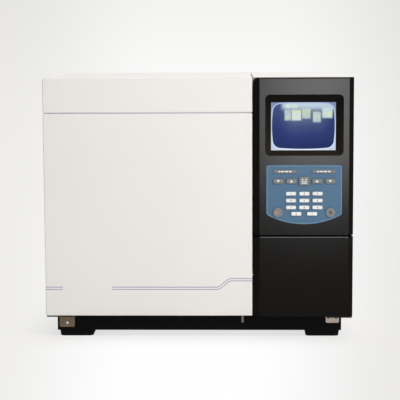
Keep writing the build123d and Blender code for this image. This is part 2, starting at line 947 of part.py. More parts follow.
# ---------------------------------------------------------------------------------------------
# Deck with injectors and detectors
# ---------------------------------------------------------------------------------------------

cover_axis_y = body_back - cover_hinge_inset[0]
cover_axis_z = cover_bottom + cover_hinge_inset[1]
ear_reach = (oven_right - left) / 2 - panel_sheet - cover_boss_length - part_gap

# Deck: a sheet over the oven, pierced for the ports, with an ear and a pin at each rear corner.
with BuildPart() as top_deck:
    box_between((left, oven_front, deck_bottom), (oven_right, panel_back, deck_top))
    with BuildSketch(Plane.XY.offset(deck_bottom)):
        with Locations(*port_places):
            Circle(port_bore)
    extrude(amount=frame_sheet, mode=Mode.SUBTRACT)
    for side in (-1, 1):
        with BuildSketch(Plane.YZ.offset(cavity_x + side * ear_reach)):
            with Locations((cover_axis_y, (deck_top + cover_axis_z) / 2)):
                Rectangle(2 * cover_ear_radius, cover_axis_z - deck_top)
            with Locations((cover_axis_y, cover_axis_z)):
                Circle(cover_ear_radius)
        extrude(amount=-side * cover_ear_sheet)
        rod_between(
            (cavity_x + side * ear_reach, cover_axis_y, cover_axis_z),
            (cavity_x + side * (ear_reach + cover_boss_length), cover_axis_y, cover_axis_z),
            cover_pin_radius,
        )
save(top_deck, "top_deck")

# Injectors: a heated block on the deck, a body that passes down through the insulation, a stem
# for the column nut, and a threaded neck for the septum nut.
block_top = deck_top + injector_block[2]
neck_top = block_top + injector_neck_height
with BuildPart() as injectors:
    for x, y in injector_places:
        with Locations((x, y, deck_top + injector_block[2] / 2)):
            Box(*injector_block)
    chamfer(injectors.edges().filter_by(Axis.Z), length=block_chamfer)
    for x, y in injector_places:
        rod_between((x, y, deck_top), (x, y, ceiling), injector_body_radius)
        rod_between((x, y, ceiling), (x, y, nut_bottom + column_nut_height), port_stem_radius)
        rod_between((x, y, block_top), (x, y, neck_top), injector_neck_radius)
save(injectors, "injectors")

# Septum nuts: round caps with a conical top that guides the needle.
nut_seat = neck_top - septum_nut_overlap
with BuildPart() as septum_nuts:
    for x, y in injector_places:
        rod_between((x, y, nut_seat), (x, y, nut_seat + septum_nut_height), septum_nut_radius)
    chamfer(septum_nuts.edges().group_by(Axis.Z)[-1], length=septum_nut_chamfer)
    for x, y in injector_places:
        rod_between(
            (x, y, nut_seat),
            (x, y, neck_top + part_gap),
            injector_neck_radius + slide_clearance,
            mode=Mode.SUBTRACT,
        )
        rod_between(
            (x, y, neck_top),
            (x, y, nut_seat + septum_nut_height),
            needle_guide_radius,
            mode=Mode.SUBTRACT,
        )
save(septum_nuts, "septum_nuts")

# Detectors: a heated block, a tower with a wider collector cap, and an igniter at its side.
detector_top = deck_top + detector_block[2]
tower_top = detector_top + detector_tower_height
with BuildPart() as detectors:
    for x, y in detector_places:
        with Locations((x, y, deck_top + detector_block[2] / 2)):
            Box(*detector_block)
    chamfer(detectors.edges().filter_by(Axis.Z), length=block_chamfer)
    for x, y in detector_places:
        rod_between((x, y, deck_top), (x, y, ceiling), injector_body_radius)
        rod_between((x, y, ceiling), (x, y, nut_bottom + column_nut_height), port_stem_radius)
        rod_between((x, y, detector_top), (x, y, tower_top), detector_tower_radius)
        rod_between(
            (x, y, tower_top), (x, y, tower_top + detector_cap_height), detector_cap_radius
        )
        igniter_z = detector_top + detector_tower_height / 2
        rod_between(
            (x, y, igniter_z),
            (x, y + detector_tower_radius + igniter_length, igniter_z),
            igniter_radius,
        )
save(detectors, "detectors")

# ---------------------------------------------------------------------------------------------
# Top cover
# ---------------------------------------------------------------------------------------------

# A hood with flanges on all four sides. The rear flange starts higher, and the side flanges
# lose their rear lower corners, so that the hood clears the deck as it swings.
with BuildPart() as top_cover:
    box_between((left, door_front, cover_bottom), (oven_right, body_back, overall_height))
    fillet(
        top_cover.edges().filter_by(Axis.Z) + top_cover.edges().group_by(Axis.Z)[-1],
        radius=cover_edge_radius,
    )
    box_between(
        (left + panel_sheet, door_front + panel_sheet, cover_bottom),
        (oven_right - panel_sheet, body_back - panel_sheet, overall_height - panel_sheet),
        mode=Mode.SUBTRACT,
    )
    with BuildSketch(Plane.YZ.offset(left)):
        with BuildLine():
            Polyline(
                (body_back, cover_bottom),
                (body_back, cover_bottom + cover_rear_lift),
                (body_back - cover_edge_radius, cover_bottom + cover_rear_lift),
                (body_back - cover_edge_radius, cover_bottom + cover_corner_cut),
                (body_back - cover_edge_radius - cover_corner_cut, cover_bottom),
                close=True,
            )
        make_face()
    extrude(amount=oven_right - left, mode=Mode.SUBTRACT)
    for side in (-1, 1):
        flange_x = cavity_x + side * ((oven_right - left) / 2 - panel_sheet)
        boss_end = flange_x - side * cover_boss_length
        rod_between(
            (flange_x, cover_axis_y, cover_axis_z),
            (boss_end, cover_axis_y, cover_axis_z),
            cover_boss_radius,
        )
        rod_between(
            (flange_x, cover_axis_y, cover_axis_z),
            (boss_end, cover_axis_y, cover_axis_z),
            cover_pin_radius + running_clearance,
            mode=Mode.SUBTRACT,
        )
save(top_cover, "top_cover")

# ---------------------------------------------------------------------------------------------
# Oven door
# ---------------------------------------------------------------------------------------------

rod_bush_top = door_bottom + panel_sheet + rod_bush_height
hinge_block_low = (left + panel_sheet, door_front + panel_sheet)
hinge_block_high = (
    door_pivot_x + door_pin_radius + hinge_block_wall,
    door_pivot_y + door_pin_radius + hinge_block_wall,
)

# Skin: a folded tray, open to the rear, with hinge blocks at its left corners and a bush for
# the release rod in its lower wall.
with BuildPart() as oven_door_skin:
    box_between((left, door_front, door_bottom), (oven_right, door_back, door_top))
    fillet(oven_door_skin.edges().filter_by(Axis.Y), radius=door_edge_radius)
    fillet(oven_door_skin.edges().group_by(Axis.Y)[0], radius=door_edge_radius)
    box_between(
        (left + panel_sheet, door_front + panel_sheet, door_bottom + panel_sheet),
        (oven_right - panel_sheet, door_back, door_top - panel_sheet),
        mode=Mode.SUBTRACT,
    )
    for end, inward in ((door_bottom, 1), (door_top, -1)):
        box_between(
            (*hinge_block_low, end + inward * panel_sheet),
            (*hinge_block_high, end + inward * hinge_block_height),
        )
        rod_between(
            (door_pivot_x, door_pivot_y, end),
            (door_pivot_x, door_pivot_y, end + inward * door_pin_length),
            door_pin_radius + running_clearance,
            mode=Mode.SUBTRACT,
        )
    rod_between(
        (rod_x, door_pivot_y, door_bottom + panel_sheet),
        (rod_x, door_pivot_y, rod_bush_top),
        rod_bush_radius,
    )
    rod_between(
        (rod_x, door_pivot_y, door_bottom),
        (rod_x, door_pivot_y, rod_bush_top),
        rod_radius + slide_clearance,
        mode=Mode.SUBTRACT,
    )
save(oven_door_skin, "oven_door_skin")

# Liner: a flange that closes the tray, with a pan pressed out of it that enters the oven mouth.
plug_half = (cavity_width / 2 - door_plug_clearance, cavity_height / 2 - door_plug_clearance)
plug_end = oven_front + door_plug_reach
nose_slot_low = striker_top - nose_size - seam
nose_slot_high = nose_z + nose_size + rod_travel + seam
nose_slot = (nose_size + 2 * seam, nose_slot_high - nose_slot_low)
tray_inset = panel_sheet + part_gap
with BuildPart() as oven_door_liner:
    with BuildSketch(facing(door_back)):
        with Locations(((left + oven_right) / 2, (door_bottom + door_top) / 2)):
            Rectangle(
                oven_right - left - 2 * tray_inset, door_top - door_bottom - 2 * tray_inset
            )
        with Locations((rod_x, (nose_slot_low + nose_slot_high) / 2)):
            Rectangle(*nose_slot, mode=Mode.SUBTRACT)
    extrude(amount=liner_sheet)
    with BuildSketch(facing(plug_end)):
        with Locations((cavity_x, cavity_z)):
            RectangleRounded(2 * plug_half[0], 2 * plug_half[1], plug_corner)
    extrude(amount=plug_end - door_back)
    with BuildSketch(facing(plug_end - liner_sheet)):
        with Locations((cavity_x, cavity_z)):
            RectangleRounded(
                2 * (plug_half[0] - liner_sheet),
                2 * (plug_half[1] - liner_sheet),
                plug_corner - liner_sheet,
            )
    extrude(amount=plug_end - door_back, mode=Mode.SUBTRACT)
save(oven_door_liner, "oven_door_liner")

# Insulation: fills tray and pan, and leaves room for the hinge blocks and the release rod.
with BuildPart() as oven_door_insulation:
    box_between(
        (left + tray_inset, door_front + tray_inset, door_bottom + tray_inset),
        (oven_right - tray_inset, door_back - liner_sheet, door_top - tray_inset),
    )
    box_between(
        (
            cavity_x - plug_half[0] + liner_sheet,
            door_back - liner_sheet,
            cavity_z - plug_half[1] + liner_sheet,
        ),
        (
            cavity_x + plug_half[0] - liner_sheet,
            plug_end - liner_sheet,
            cavity_z + plug_half[1] - liner_sheet,
        ),
    )
    chamfer(
        oven_door_insulation.edges().filter_by(Axis.Y).filter_by_position(
            Axis.Y, door_back - liner_sheet, plug_end
        ),
        length=plug_corner - liner_sheet,
    )
    for end, inward in ((door_bottom, 1), (door_top, -1)):
        box_between(
            (*hinge_block_low, end),
            (
                hinge_block_high[0] + part_gap,
                door_back,
                end + inward * (hinge_block_height + part_gap),
            ),
            mode=Mode.SUBTRACT,
        )
    box_between(
        (rod_x - nose_slot[0] / 2, door_front, door_bottom),
        (rod_x + nose_slot[0] / 2, door_back, door_bottom + rod_rise + rod_travel + seam),
        mode=Mode.SUBTRACT,
    )
save(oven_door_insulation, "oven_door_insulation")

# Gasket: a braided rope laid around the pan, which meets the oven front.
with BuildPart() as oven_door_gasket:
    with BuildSketch(facing(door_back)):
        with Locations((cavity_x, cavity_z)):
            for grow, mode in (
                (gasket_offset + gasket_width, Mode.ADD),
                (gasket_offset, Mode.SUBTRACT),
            ):
                RectangleRounded(
                    cavity_width + 2 * grow, cavity_height + 2 * grow, grow, mode=mode
                )
    extrude(amount=-(oven_front - part_gap - door_back))
    chamfer(oven_door_gasket.edges().group_by(Axis.Y)[-1], length=gasket_edge)
save(oven_door_gasket, "oven_door_gasket")

# Release rod: a pin that is pushed up from below the door, with a collar that stops it on its
# bush and a nose that lies over the striker on the oven front.
with BuildPart() as latch_pin:
    rod_between(
        (rod_x, door_pivot_y, door_bottom - rod_drop),
        (rod_x, door_pivot_y, door_bottom + rod_rise),
        rod_radius,
    )
    chamfer(latch_pin.edges().group_by(Axis.Z)[0], length=rod_chamfer)
    rod_between(
        (rod_x, door_pivot_y, rod_bush_top + slide_clearance),
        (rod_x, door_pivot_y, rod_bush_top + slide_clearance + rod_collar_height),
        rod_collar_radius,
    )
    box_between(
        (rod_x - nose_size / 2, door_pivot_y, nose_z),
        (rod_x + nose_size / 2, oven_front - nose_gap, nose_z + nose_size),
    )
save(latch_pin, "latch_pin")

# ---------------------------------------------------------------------------------------------
# Console: fascia, display and keypad
# ---------------------------------------------------------------------------------------------


def console_plan(depth, grow):
    """The plan of a console moulding: flat front, bevelled sides, grown by a margin."""
    with BuildLine() as outline:
        Polyline(
            (console_left, face_y + depth + 2 * moulding_wall),
            (console_left, face_y + bevel_left_depth),
            (face_left, face_y),
            (face_right, face_y),
            (right, face_y + bevel_right_depth),
            (right, face_y + depth + 2 * moulding_wall),
            close=True,
        )
    make_face(outline.edges())
    offset(amount=grow)


def moulded_shell(bottom, top, depth, corners, edge_radius):
    """Adds a console moulding, open to the rear, to the part in progress.

    The outer form is where three prisms meet: the plan with its bevels, the front outline with
    its rounded corners, and the side profile with its rounded upper edge. The hollow is the
    plan and the outline again, smaller by the wall.
    """
    left_corner, right_corner, lower_corner = corners
    for wall, mode in ((0.0, Mode.ADD), (moulding_wall, Mode.SUBTRACT)):
        with BuildSketch(Plane.XY.offset(bottom + wall)) as plan:
            console_plan(depth, -wall)
        with BuildSketch(facing(face_y + depth)) as outline:
            with Locations(((console_left + right) / 2, (bottom + top) / 2)):
                Rectangle(right - console_left, top - bottom)
            upper = outline.vertices().group_by(Axis.Y)[-1].sort_by(Axis.X)
            lower = outline.vertices().group_by(Axis.Y)[0]
            fillet(upper[0], radius=left_corner)
            fillet(upper[-1], radius=right_corner)
            fillet(lower, radius=lower_corner)
            offset(amount=-wall)
        with BuildSketch(Plane.YZ.offset(console_left)) as profile:
            with Locations((face_y + depth / 2, (bottom + top) / 2)):
                Rectangle(depth, top - bottom)
            fillet(
                profile.vertices().group_by(Axis.X)[0].sort_by(Axis.Y)[-1],
                radius=edge_radius,
            )
        form = (
            extrude(plan.sketch, amount=top - bottom - 2 * wall, mode=Mode.PRIVATE)
            & extrude(outline.sketch, amount=depth, mode=Mode.PRIVATE)
            & extrude(profile.sketch, amount=right - console_left, mode=Mode.PRIVATE)
        )
        add(form, mode=mode)


key_sizes = {"number": number_key_size, "arrow": arrow_key_size, "menu": menu_key_size}


def key_outline(shape, margin):
    """The outline of a key, grown by a margin, in the sketch in progress."""
    if shape == "round":
        Circle(round_key_radius + margin)
    else:
        width, height = key_sizes[shape]
        cut_rectangle(width + 2 * margin, height + 2 * margin, key_corner)


def keypad_outline():
    """The keypad's outline: a rectangle whose lower edge is an arc."""
    half = keypad_width / 2
    sagitta = keypad_arc_radius - (keypad_arc_radius**2 - half**2) ** 0.5
    low = keypad_top - keypad_height
    with BuildLine() as outline:
        Polyline(
            (face_centre - half, low + sagitta),
            (face_centre - half, keypad_top),
            (face_centre + half, keypad_top),
            (face_centre + half, low + sagitta),
        )
        ThreePointArc(
            (face_centre + half, low + sagitta),
            (face_centre, low),
            (face_centre - half, low + sagitta),
        )
    make_face(outline.edges())


def round_keypad_corners(builder):
    """Rounds the four corners of the keypad outline in a sketch."""
    fillet(builder.vertices().group_by(Axis.Y)[-1], radius=keypad_corner)
    corners = builder.vertices().filter_by_position(
        Axis.Y, keypad_top - keypad_height, keypad_top - keypad_height / 2
    )
    fillet(corners, radius=keypad_lower_corner)


window_y = face_y + window_depth
board_y = wall_inner_y + slide_clearance + key_flange + key_travel + part_gap
board_posts = (board_width / 2 - 2 * board_post_radius, board_height - 4 * board_post_radius)

with BuildPart() as fascia:
    moulded_shell(
        fascia_bottom,
        overall_height,
        console_depth,
        (console_corner_left, console_corner_right, console_lower_corner),
        console_edge_radius,
    )
    # walls of the display recess
    for depth, centre, size, radius in (
        (moulding_wall / 2, (face_centre, bezel_z), (bezel_width, bezel_height), bezel_corner),
        (window_depth, window_centre, (window_width, window_height), window_corner),
    ):
        with BuildSketch(facing(face_y + depth)):
            with Locations(centre):
                RectangleRounded(
                    size[0] + 2 * moulding_wall,
                    size[1] + 2 * moulding_wall,
                    radius + moulding_wall,
                )
    loft()
    # sloping recess down to the window
    for depth, centre, size, radius in (
        (0.0, (face_centre, bezel_z), (bezel_width, bezel_height), bezel_corner),
        (window_depth, window_centre, (window_width, window_height), window_corner),
    ):
        with BuildSketch(facing(face_y + depth)):
            with Locations(centre):
                RectangleRounded(*size, radius)
    loft(mode=Mode.SUBTRACT)
    # shallow recess for the keypad overlay
    with BuildSketch(facing(face_y)) as recess:
        keypad_outline()
        round_keypad_corners(recess)
        offset(amount=part_gap / 2)
    extrude(amount=-keypad_recess, mode=Mode.SUBTRACT)
    # key holes
    for _, shape, across, drop in keys:
        with BuildSketch(facing(face_y)):
            with Locations((face_centre + across, keypad_top - drop)):
                key_outline(shape, key_clearance)
        extrude(amount=-moulding_wall, mode=Mode.SUBTRACT)
    # posts that carry the keypad's board
    with BuildSketch(facing(board_y)):
        with Locations((face_centre, keypad_top - board_height / 2)):
            with GridLocations(2 * board_posts[0], board_posts[1], 2, 2):
                Circle(board_post_radius)
    extrude(amount=board_y - wall_inner_y)
    # pin for the upper hinge of the gas door
    rod_between(
        (gas_pivot_x, gas_pivot_y, fascia_bottom + moulding_wall),
        (gas_pivot_x, gas_pivot_y, fascia_bottom - gas_pin_length),
        gas_pin_radius,
    )
save(fascia, "fascia")

# Display window: a clear plate on the rear edge of the recess.
with BuildPart() as display_window:
    with BuildSketch(facing(window_y)):
        with Locations(window_centre):
            Rectangle(window_width + 2 * window_margin, window_height + 2 * window_margin)
    extrude(amount=-window_thickness)
save(display_window, "display_window")

# Display module: a metal frame around the panel, and its circuit board behind.
module_y = window_y + window_thickness
with BuildPart() as display_module:
    with BuildSketch(facing(module_y)):
        with Locations(window_centre):
            Rectangle(window_width + 2 * module_rim, window_height + 2 * module_rim)
    extrude(amount=-module_depth)
    with BuildSketch(facing(module_y + module_depth)):
        with Locations(window_centre):
            Rectangle(
                window_width + 2 * module_rim + 2 * window_margin,
                window_height + 2 * module_rim + 2 * window_margin,
            )
    extrude(amount=-board_thickness)
save(display_module, "display_module")

# Keypad overlay: a printed sheet in the shallow recess, with two raised legend bars.
with BuildPart() as keypad_overlay:
    with BuildSketch(facing(overlay_front)) as sheet:
        keypad_outline()
        round_keypad_corners(sheet)
    extrude(amount=-overlay_thickness)
    for _, shape, across, drop in keys:
        with BuildSketch(facing(overlay_front)):
            with Locations((face_centre + across, keypad_top - drop)):
                key_outline(shape, key_clearance)
        extrude(amount=-overlay_thickness, mode=Mode.SUBTRACT)
    with BuildSketch(facing(overlay_front)):
        with Locations((face_centre, keypad_top - legend_bar_drop)):
            with GridLocations(2 * legend_bar_offset, 0, 2, 1):
                cut_rectangle(*legend_bar_size, key_corner)
    extrude(amount=legend_bar_height)
    chamfer(keypad_overlay.edges().group_by(Axis.Y)[0], length=key_edge)
save(keypad_overlay, "keypad_overlay")

# Keypad board: carries the switches, screwed to the posts behind the keypad.
with BuildPart() as keypad_board:
    with BuildSketch(facing(board_y)):
        with Locations((face_centre, keypad_top - board_height / 2)):
            Rectangle(board_width, board_height)
    extrude(amount=-board_thickness)
save(keypad_board, "keypad_board")

# Keys: a cap through the fascia and a flange behind its wall that keeps it in.
flange_y = wall_inner_y + slide_clearance
for name, shape, across, drop in keys:
    place = (face_centre + across, keypad_top - drop)
    with BuildPart() as key:
        with BuildSketch(facing(front)):
            with Locations(place):
                key_outline(shape, 0)
        extrude(amount=-(flange_y + key_flange - front))
        chamfer(key.edges().group_by(Axis.Y)[0], length=key_edge)
        with BuildSketch(facing(flange_y)):
            with Locations(place):
                key_outline(shape, key_flange_margin)
        extrude(amount=-key_flange)
    save(key, name)

# ---------------------------------------------------------------------------------------------
# Gas door and gas controls
# ---------------------------------------------------------------------------------------------

# Gas door: a moulding like the fascia, with hinge blocks at its right corners.
with BuildPart() as gas_door:
    moulded_shell(
        door_bottom,
        gas_door_top,
        gas_door_depth,
        (gas_door_corner, gas_door_corner, gas_door_corner),
        gas_door_edge_radius,
    )
    block_half = gas_pin_radius + hinge_block_wall
    for end, inward in ((door_bottom, 1), (gas_door_top, -1)):
        box_between(
            (gas_pivot_x - block_half, face_y + moulding_wall, end + inward * moulding_wall),
            (right - moulding_wall, gas_pivot_y + block_half, end + inward * hinge_block_height),
        )
        rod_between(
            (gas_pivot_x, gas_pivot_y, end),
            (gas_pivot_x, gas_pivot_y, end + inward * gas_pin_length),
            gas_pin_radius + running_clearance,
            mode=Mode.SUBTRACT,
        )
save(gas_door, "gas_door")

# Gas panel: a plate behind the door, with a valve block behind each knob.
gas_panel_low = base_top + panel_sheet + part_gap
gas_panel_back = gas_panel_y + gas_panel_sheet
with BuildPart() as gas_panel:
    box_between(
        (console_left + part_gap, gas_panel_y, gas_panel_low),
        (right - panel_sheet - part_gap, gas_panel_back, fascia_bottom - part_gap),
    )
    for x in knob_xs:
        box_between(
            (x - valve_block / 2, gas_panel_back, knob_z - valve_block / 2),
            (x + valve_block / 2, gas_panel_back + valve_block, knob_z + valve_block / 2),
        )
        rod_between(
            (x, gas_panel_y, knob_z),
            (x, gas_panel_y + spindle_length + part_gap, knob_z),
            spindle_radius + running_clearance,
            mode=Mode.SUBTRACT,
        )
        rod_between(
            (x, gas_panel_y, gauge_z),
            (x, gas_panel_back, gauge_z),
            gauge_stem_radius + slide_clearance,
            mode=Mode.SUBTRACT,
        )
save(gas_panel, "gas_panel")

# Pressure gauges: round cases with a raised rim, and stems through the panel.
with BuildPart() as pressure_gauges:
    for x in knob_xs:
        rod_between(
            (x, gas_panel_y, gauge_z),
            (x, gas_panel_y - gauge_depth, gauge_z),
            gauge_radius,
        )
        rod_between(
            (x, gas_panel_y - gauge_depth, gauge_z),
            (x, gas_panel_y - gauge_depth + gauge_dial_depth, gauge_z),
            gauge_radius - gauge_rim,
            mode=Mode.SUBTRACT,
        )
        rod_between(
            (x, gas_panel_y, gauge_z),
            (x, gas_panel_y + gauge_stem_length, gauge_z),
            gauge_stem_radius,
        )
save(pressure_gauges, "pressure_gauges")

# Valve knobs: a fluted cap on a skirt, with a spindle that turns in the valve block.
knob_back = gas_panel_y - part_gap
for number, x in enumerate(knob_xs, start=1):
    with BuildPart() as knob:
        rod_between(
            (x, knob_back, knob_z), (x, knob_back - knob_length, knob_z), knob_radius
        )
        chamfer(knob.edges().group_by(Axis.Y)[0], length=knob_chamfer)
        with BuildSketch(facing(knob_back)):
            with Locations((x, knob_z)):
                with PolarLocations(knob_radius, knob_grips):
                    Circle(knob_flute_radius)
        extrude(amount=knob_length, mode=Mode.SUBTRACT)
        rod_between(
            (x, knob_back, knob_z),
            (x, knob_back - knob_skirt_length, knob_z),
            knob_skirt_radius,
        )
        rod_between(
            (x, knob_back, knob_z),
            (x, gas_panel_y + spindle_length, knob_z),
            spindle_radius,
        )
    save(knob, f"valve_knob_{number}")

# ---------------------------------------------------------------------------------------------
# Rear connections
# ---------------------------------------------------------------------------------------------

# Gas inlets: a hexagon outside the panel with a tube stub, and a tail inside.
with BuildPart() as gas_fittings:
    with BuildSketch(facing(body_back)):
        with Locations(*[(x, fitting_z) for x in fitting_xs]):
            RegularPolygon(fitting_hex_flats / 2, 6, major_radius=False)
    extrude(amount=-fitting_hex_height)
    for x in fitting_xs:
        rod_between(
            (x, panel_back - fitting_inner_length, fitting_z),
            (x, body_back + fitting_hex_height + fitting_stub_length, fitting_z),
            fitting_stub_radius,
        )
save(gas_fittings, "gas_fittings")

# Mains inlet: a flanged body with a three-blade socket below and a well for the rocker above.
socket_z = inlet_z - socket_drop
rocker_z = inlet_z + rocker_rise
inlet_face = body_back + inlet_flange
axle_y = body_back + inlet_flange - rocker_axle_radius
with BuildPart() as mains_inlet:
    with BuildSketch(facing(inlet_face)):
        with Locations((inlet_x, inlet_z)):
            RectangleRounded(
                inlet_size[0] + 2 * inlet_flange_margin,
                inlet_size[1] + 2 * inlet_flange_margin,
                inlet_flange_margin / 2,
            )
    extrude(amount=inlet_flange)
    box_between(
        (inlet_x - inlet_size[0] / 2, panel_back - inlet_depth, inlet_z - inlet_size[1] / 2),
        (inlet_x + inlet_size[0] / 2, body_back, inlet_z + inlet_size[1] / 2),
    )
    with BuildSketch(facing(inlet_face)):
        with Locations((inlet_x, socket_z)):
            Rectangle(*socket_size)
    extrude(amount=socket_depth, mode=Mode.SUBTRACT)
    with BuildSketch(facing(inlet_face - socket_depth)):
        with Locations((inlet_x, socket_z)):
            for across, rise in ((-blade_pitch, 0), (0, blade_size[1]), (blade_pitch, 0)):
                with Locations((across, rise)):
                    Rectangle(*blade_size)
    extrude(amount=-blade_length)
    with BuildSketch(facing(inlet_face)):
        with Locations((inlet_x, rocker_z)):
            Rectangle(*rocker_well)
    extrude(amount=rocker_well_depth, mode=Mode.SUBTRACT)
    rod_between(
        (inlet_x - rocker_well[0] / 2, axle_y, rocker_z),
        (inlet_x + rocker_well[0] / 2, axle_y, rocker_z),
        rocker_axle_radius,
    )
save(mains_inlet, "mains_inlet")

# Rocker: two faces that meet in a shallow hollow, tilted to its off position.
with BuildPart() as power_rocker:
    rocker_plane = Plane(
        origin=(inlet_x - rocker_size[0] / 2, axle_y, rocker_z),
        x_dir=(0, cos(radians(rocker_tilt)), sin(radians(rocker_tilt))),
        z_dir=(1, 0, 0),
    )
    half = rocker_size[1] / 2
    with BuildSketch(rocker_plane):
        with BuildLine():
            Polyline(
                (rocker_depth, half),
                (rocker_depth - rocker_hollow, 0),
                (rocker_depth, -half),
                (rocker_axle_radius, -half),
                (-rocker_axle_radius - rocker_wall, -rocker_axle_radius - rocker_wall),
                (-rocker_axle_radius - rocker_wall, rocker_axle_radius + rocker_wall),
                (rocker_axle_radius, half),
                close=True,
            )
        make_face()
        Circle(rocker_axle_radius + running_clearance, mode=Mode.SUBTRACT)
    extrude(amount=rocker_size[0])
save(power_rocker, "power_rocker")

# ---------------------------------------------------------------------------------------------
# Electronics
# ---------------------------------------------------------------------------------------------

# Main board: stands on posts off the partition, with its heat sink and larger components.
board_x = oven_right + main_board_standoff
board_middle = ((console_back + panel_back) / 2, overall_height - main_board_drop)
with BuildPart() as main_board:
    with BuildSketch(Plane.YZ.offset(board_x)):
        with Locations(board_middle):
            Rectangle(*main_board_size)
    extrude(amount=board_thickness)
    with BuildSketch(Plane.YZ.offset(oven_right)):
        with Locations(board_middle):
            with GridLocations(
                main_board_size[0] - 4 * board_post_radius,
                main_board_size[1] - 4 * board_post_radius,
                2,
                2,
            ):
                Circle(board_post_radius)
    extrude(amount=main_board_standoff)
    with BuildSketch(Plane.YZ.offset(board_x + board_thickness)):
        with Locations(board_middle):
            with GridLocations(chip_pitch, chip_pitch, 3, 2):
                Rectangle(chip_size, chip_size)
    extrude(amount=chip_height)
save(main_board, "main_board")

# Transformer: a laminated core through a wound coil, on the base frame.
core_middle = base_top + transformer_core[2] / 2
with BuildPart() as transformer:
    with Locations(
        ((console_left + right) / 2, body_back - transformer_setback, core_middle)
    ):
        Box(*transformer_core)
        Box(*transformer_coil)
save(transformer, "transformer")
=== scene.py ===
# %% [markdown]
# # A bench-top gas chromatograph, dressed for its picture
#
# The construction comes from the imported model: every panel, door, key and hinge is already there
# at its real size. This notebook gives each of them its finish and adds the small things that a
# drawing office leaves out: printed lines, key legends, screws, dials and the heater's wound
# wire. Lengths are in metres, the front faces -Y, and +Z is up.

# %% Load the frame
import math

import bmesh
import bpy
import numpy as np
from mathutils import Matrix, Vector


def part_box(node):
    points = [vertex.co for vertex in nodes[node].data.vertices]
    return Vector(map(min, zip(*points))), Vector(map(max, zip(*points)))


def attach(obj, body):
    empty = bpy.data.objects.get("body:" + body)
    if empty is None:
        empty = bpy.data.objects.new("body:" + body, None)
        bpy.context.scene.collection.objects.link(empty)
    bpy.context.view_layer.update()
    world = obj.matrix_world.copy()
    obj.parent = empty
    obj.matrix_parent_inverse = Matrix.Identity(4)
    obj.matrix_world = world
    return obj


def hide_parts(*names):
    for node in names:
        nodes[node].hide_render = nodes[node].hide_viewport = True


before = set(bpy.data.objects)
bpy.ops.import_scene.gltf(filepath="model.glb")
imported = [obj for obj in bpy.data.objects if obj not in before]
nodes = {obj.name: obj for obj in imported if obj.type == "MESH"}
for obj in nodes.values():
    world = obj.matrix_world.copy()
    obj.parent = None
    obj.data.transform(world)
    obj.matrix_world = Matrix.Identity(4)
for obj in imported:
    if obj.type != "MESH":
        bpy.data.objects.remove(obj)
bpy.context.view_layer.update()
MM = 0.001

# %% [markdown]
# ## Small helpers
#
# Colours are picked on a screen as sRGB hex values, while the renderer works with linear light,
# so one function converts them. A second function adds a shader node together with its settings
# and its links. A pattern is mostly arithmetic on the place being shaded, so its nodes are given
# as a table of steps, one node a row. A material is such a table and the surface that it feeds.

# %% Colour and node helpers


def linear(code):
    """An sRGB hex colour as linear RGBA.

    Below 0.04045 a channel is divided by 12.92. Above it, 0.055 is added, the sum is divided by
    1.055 and raised to the power 2.4.
    """
    srgb = np.array([int(code[i : i + 2], 16) for i in (1, 3, 5)]) / 255.0
    light = np.where(srgb <= 0.04045, srgb / 12.92, ((srgb + 0.055) / 1.055) ** 2.4)
    return (*light.tolist(), 1.0)


def add_node(tree, kind, inputs=None, **settings):
    """Adds a node; inputs holds a value or another node's output for each named socket."""
    node = tree.nodes.new(kind)
    for name, value in settings.items():
        setattr(node, name, value)
    for socket, value in (inputs or {}).items():
        if isinstance(value, bpy.types.NodeSocket):
            tree.links.new(value, node.inputs[socket])
        else:
            node.inputs[socket].default_value = value
    return node


# %% Steps of a pattern
# For each word: the node that it adds, the inputs that a step's values fill in turn, the output
# that is the result, and the settings. Every other word is an operation of the Math node.
RANGE_INPUTS = ("Value", "From Min", "From Max", "To Min", "To Max")
STEP_WORDS = {
    **{axis: ("ShaderNodeSeparateXYZ", ("Vector",), axis, {}) for axis in "XYZ"},
    "LEAN": ("ShaderNodeMapping", ("Vector", "Rotation"), "Vector", {}),
    "STRETCH": ("ShaderNodeMapping", ("Vector", "Scale"), "Vector", {}),
    "NOISE": ("ShaderNodeTexNoise", ("Vector", "Scale", "Detail"), "Fac", {}),
    "WAVE": ("ShaderNodeTexWave", ("Vector", "Scale"), "Fac", {}),
    "CELLS": ("ShaderNodeTexVoronoi", ("Vector", "Scale"), "Color", {}),
    "RED": ("ShaderNodeSeparateColor", ("Color",), "Red", {}),
    "GREEN": ("ShaderNodeSeparateColor", ("Color",), "Green", {}),
    "BLEND": ("ShaderNodeMix", (0, 6, 7), 2, {"data_type": "RGBA"}),
    "DIM": ("ShaderNodeHueSaturation", ("Color", "Value"), "Color", {}),
    "RANGE": ("ShaderNodeMapRange", RANGE_INPUTS, "Result", {}),
    "SMOOTH": ("ShaderNodeMapRange", RANGE_INPUTS, "Result", {"interpolation_type": "SMOOTHSTEP"}),
}


def look_up(value, known):
    """A hex code becomes a colour, other text an earlier result, and a number stays as it is."""
    if isinstance(value, str):
        return linear(value) if value.startswith("#") else known[value]
    return value


def work_out(tree, steps, known):
    """Adds a node for each step (name, word, values) and returns all the results by name."""
    known = dict(known)
    for name, word, *values in steps:
        maths = ("ShaderNodeMath", (0, 1, 2), "Value", {"operation": word})
        kind, sockets, result, settings = STEP_WORDS.get(word, maths)
        filled = {socket: look_up(value, known) for socket, value in zip(sockets, values)}
        known[name] = add_node(tree, kind, filled, **settings).outputs[result]
    return known


def new_material(name):
    """A node material, its empty tree, and the point being shaded, in metres, by its name."""
    material = bpy.data.materials.new(name)
    material.use_nodes = True
    tree = material.node_tree
    tree.nodes.clear()
    return material, tree, {"point": add_node(tree, "ShaderNodeTexCoord").outputs["Object"]}


def close_tree(tree, shader):
    """Links a shader to the material's output."""
    add_node(tree, "ShaderNodeOutputMaterial", {"Surface": shader.outputs[0]})


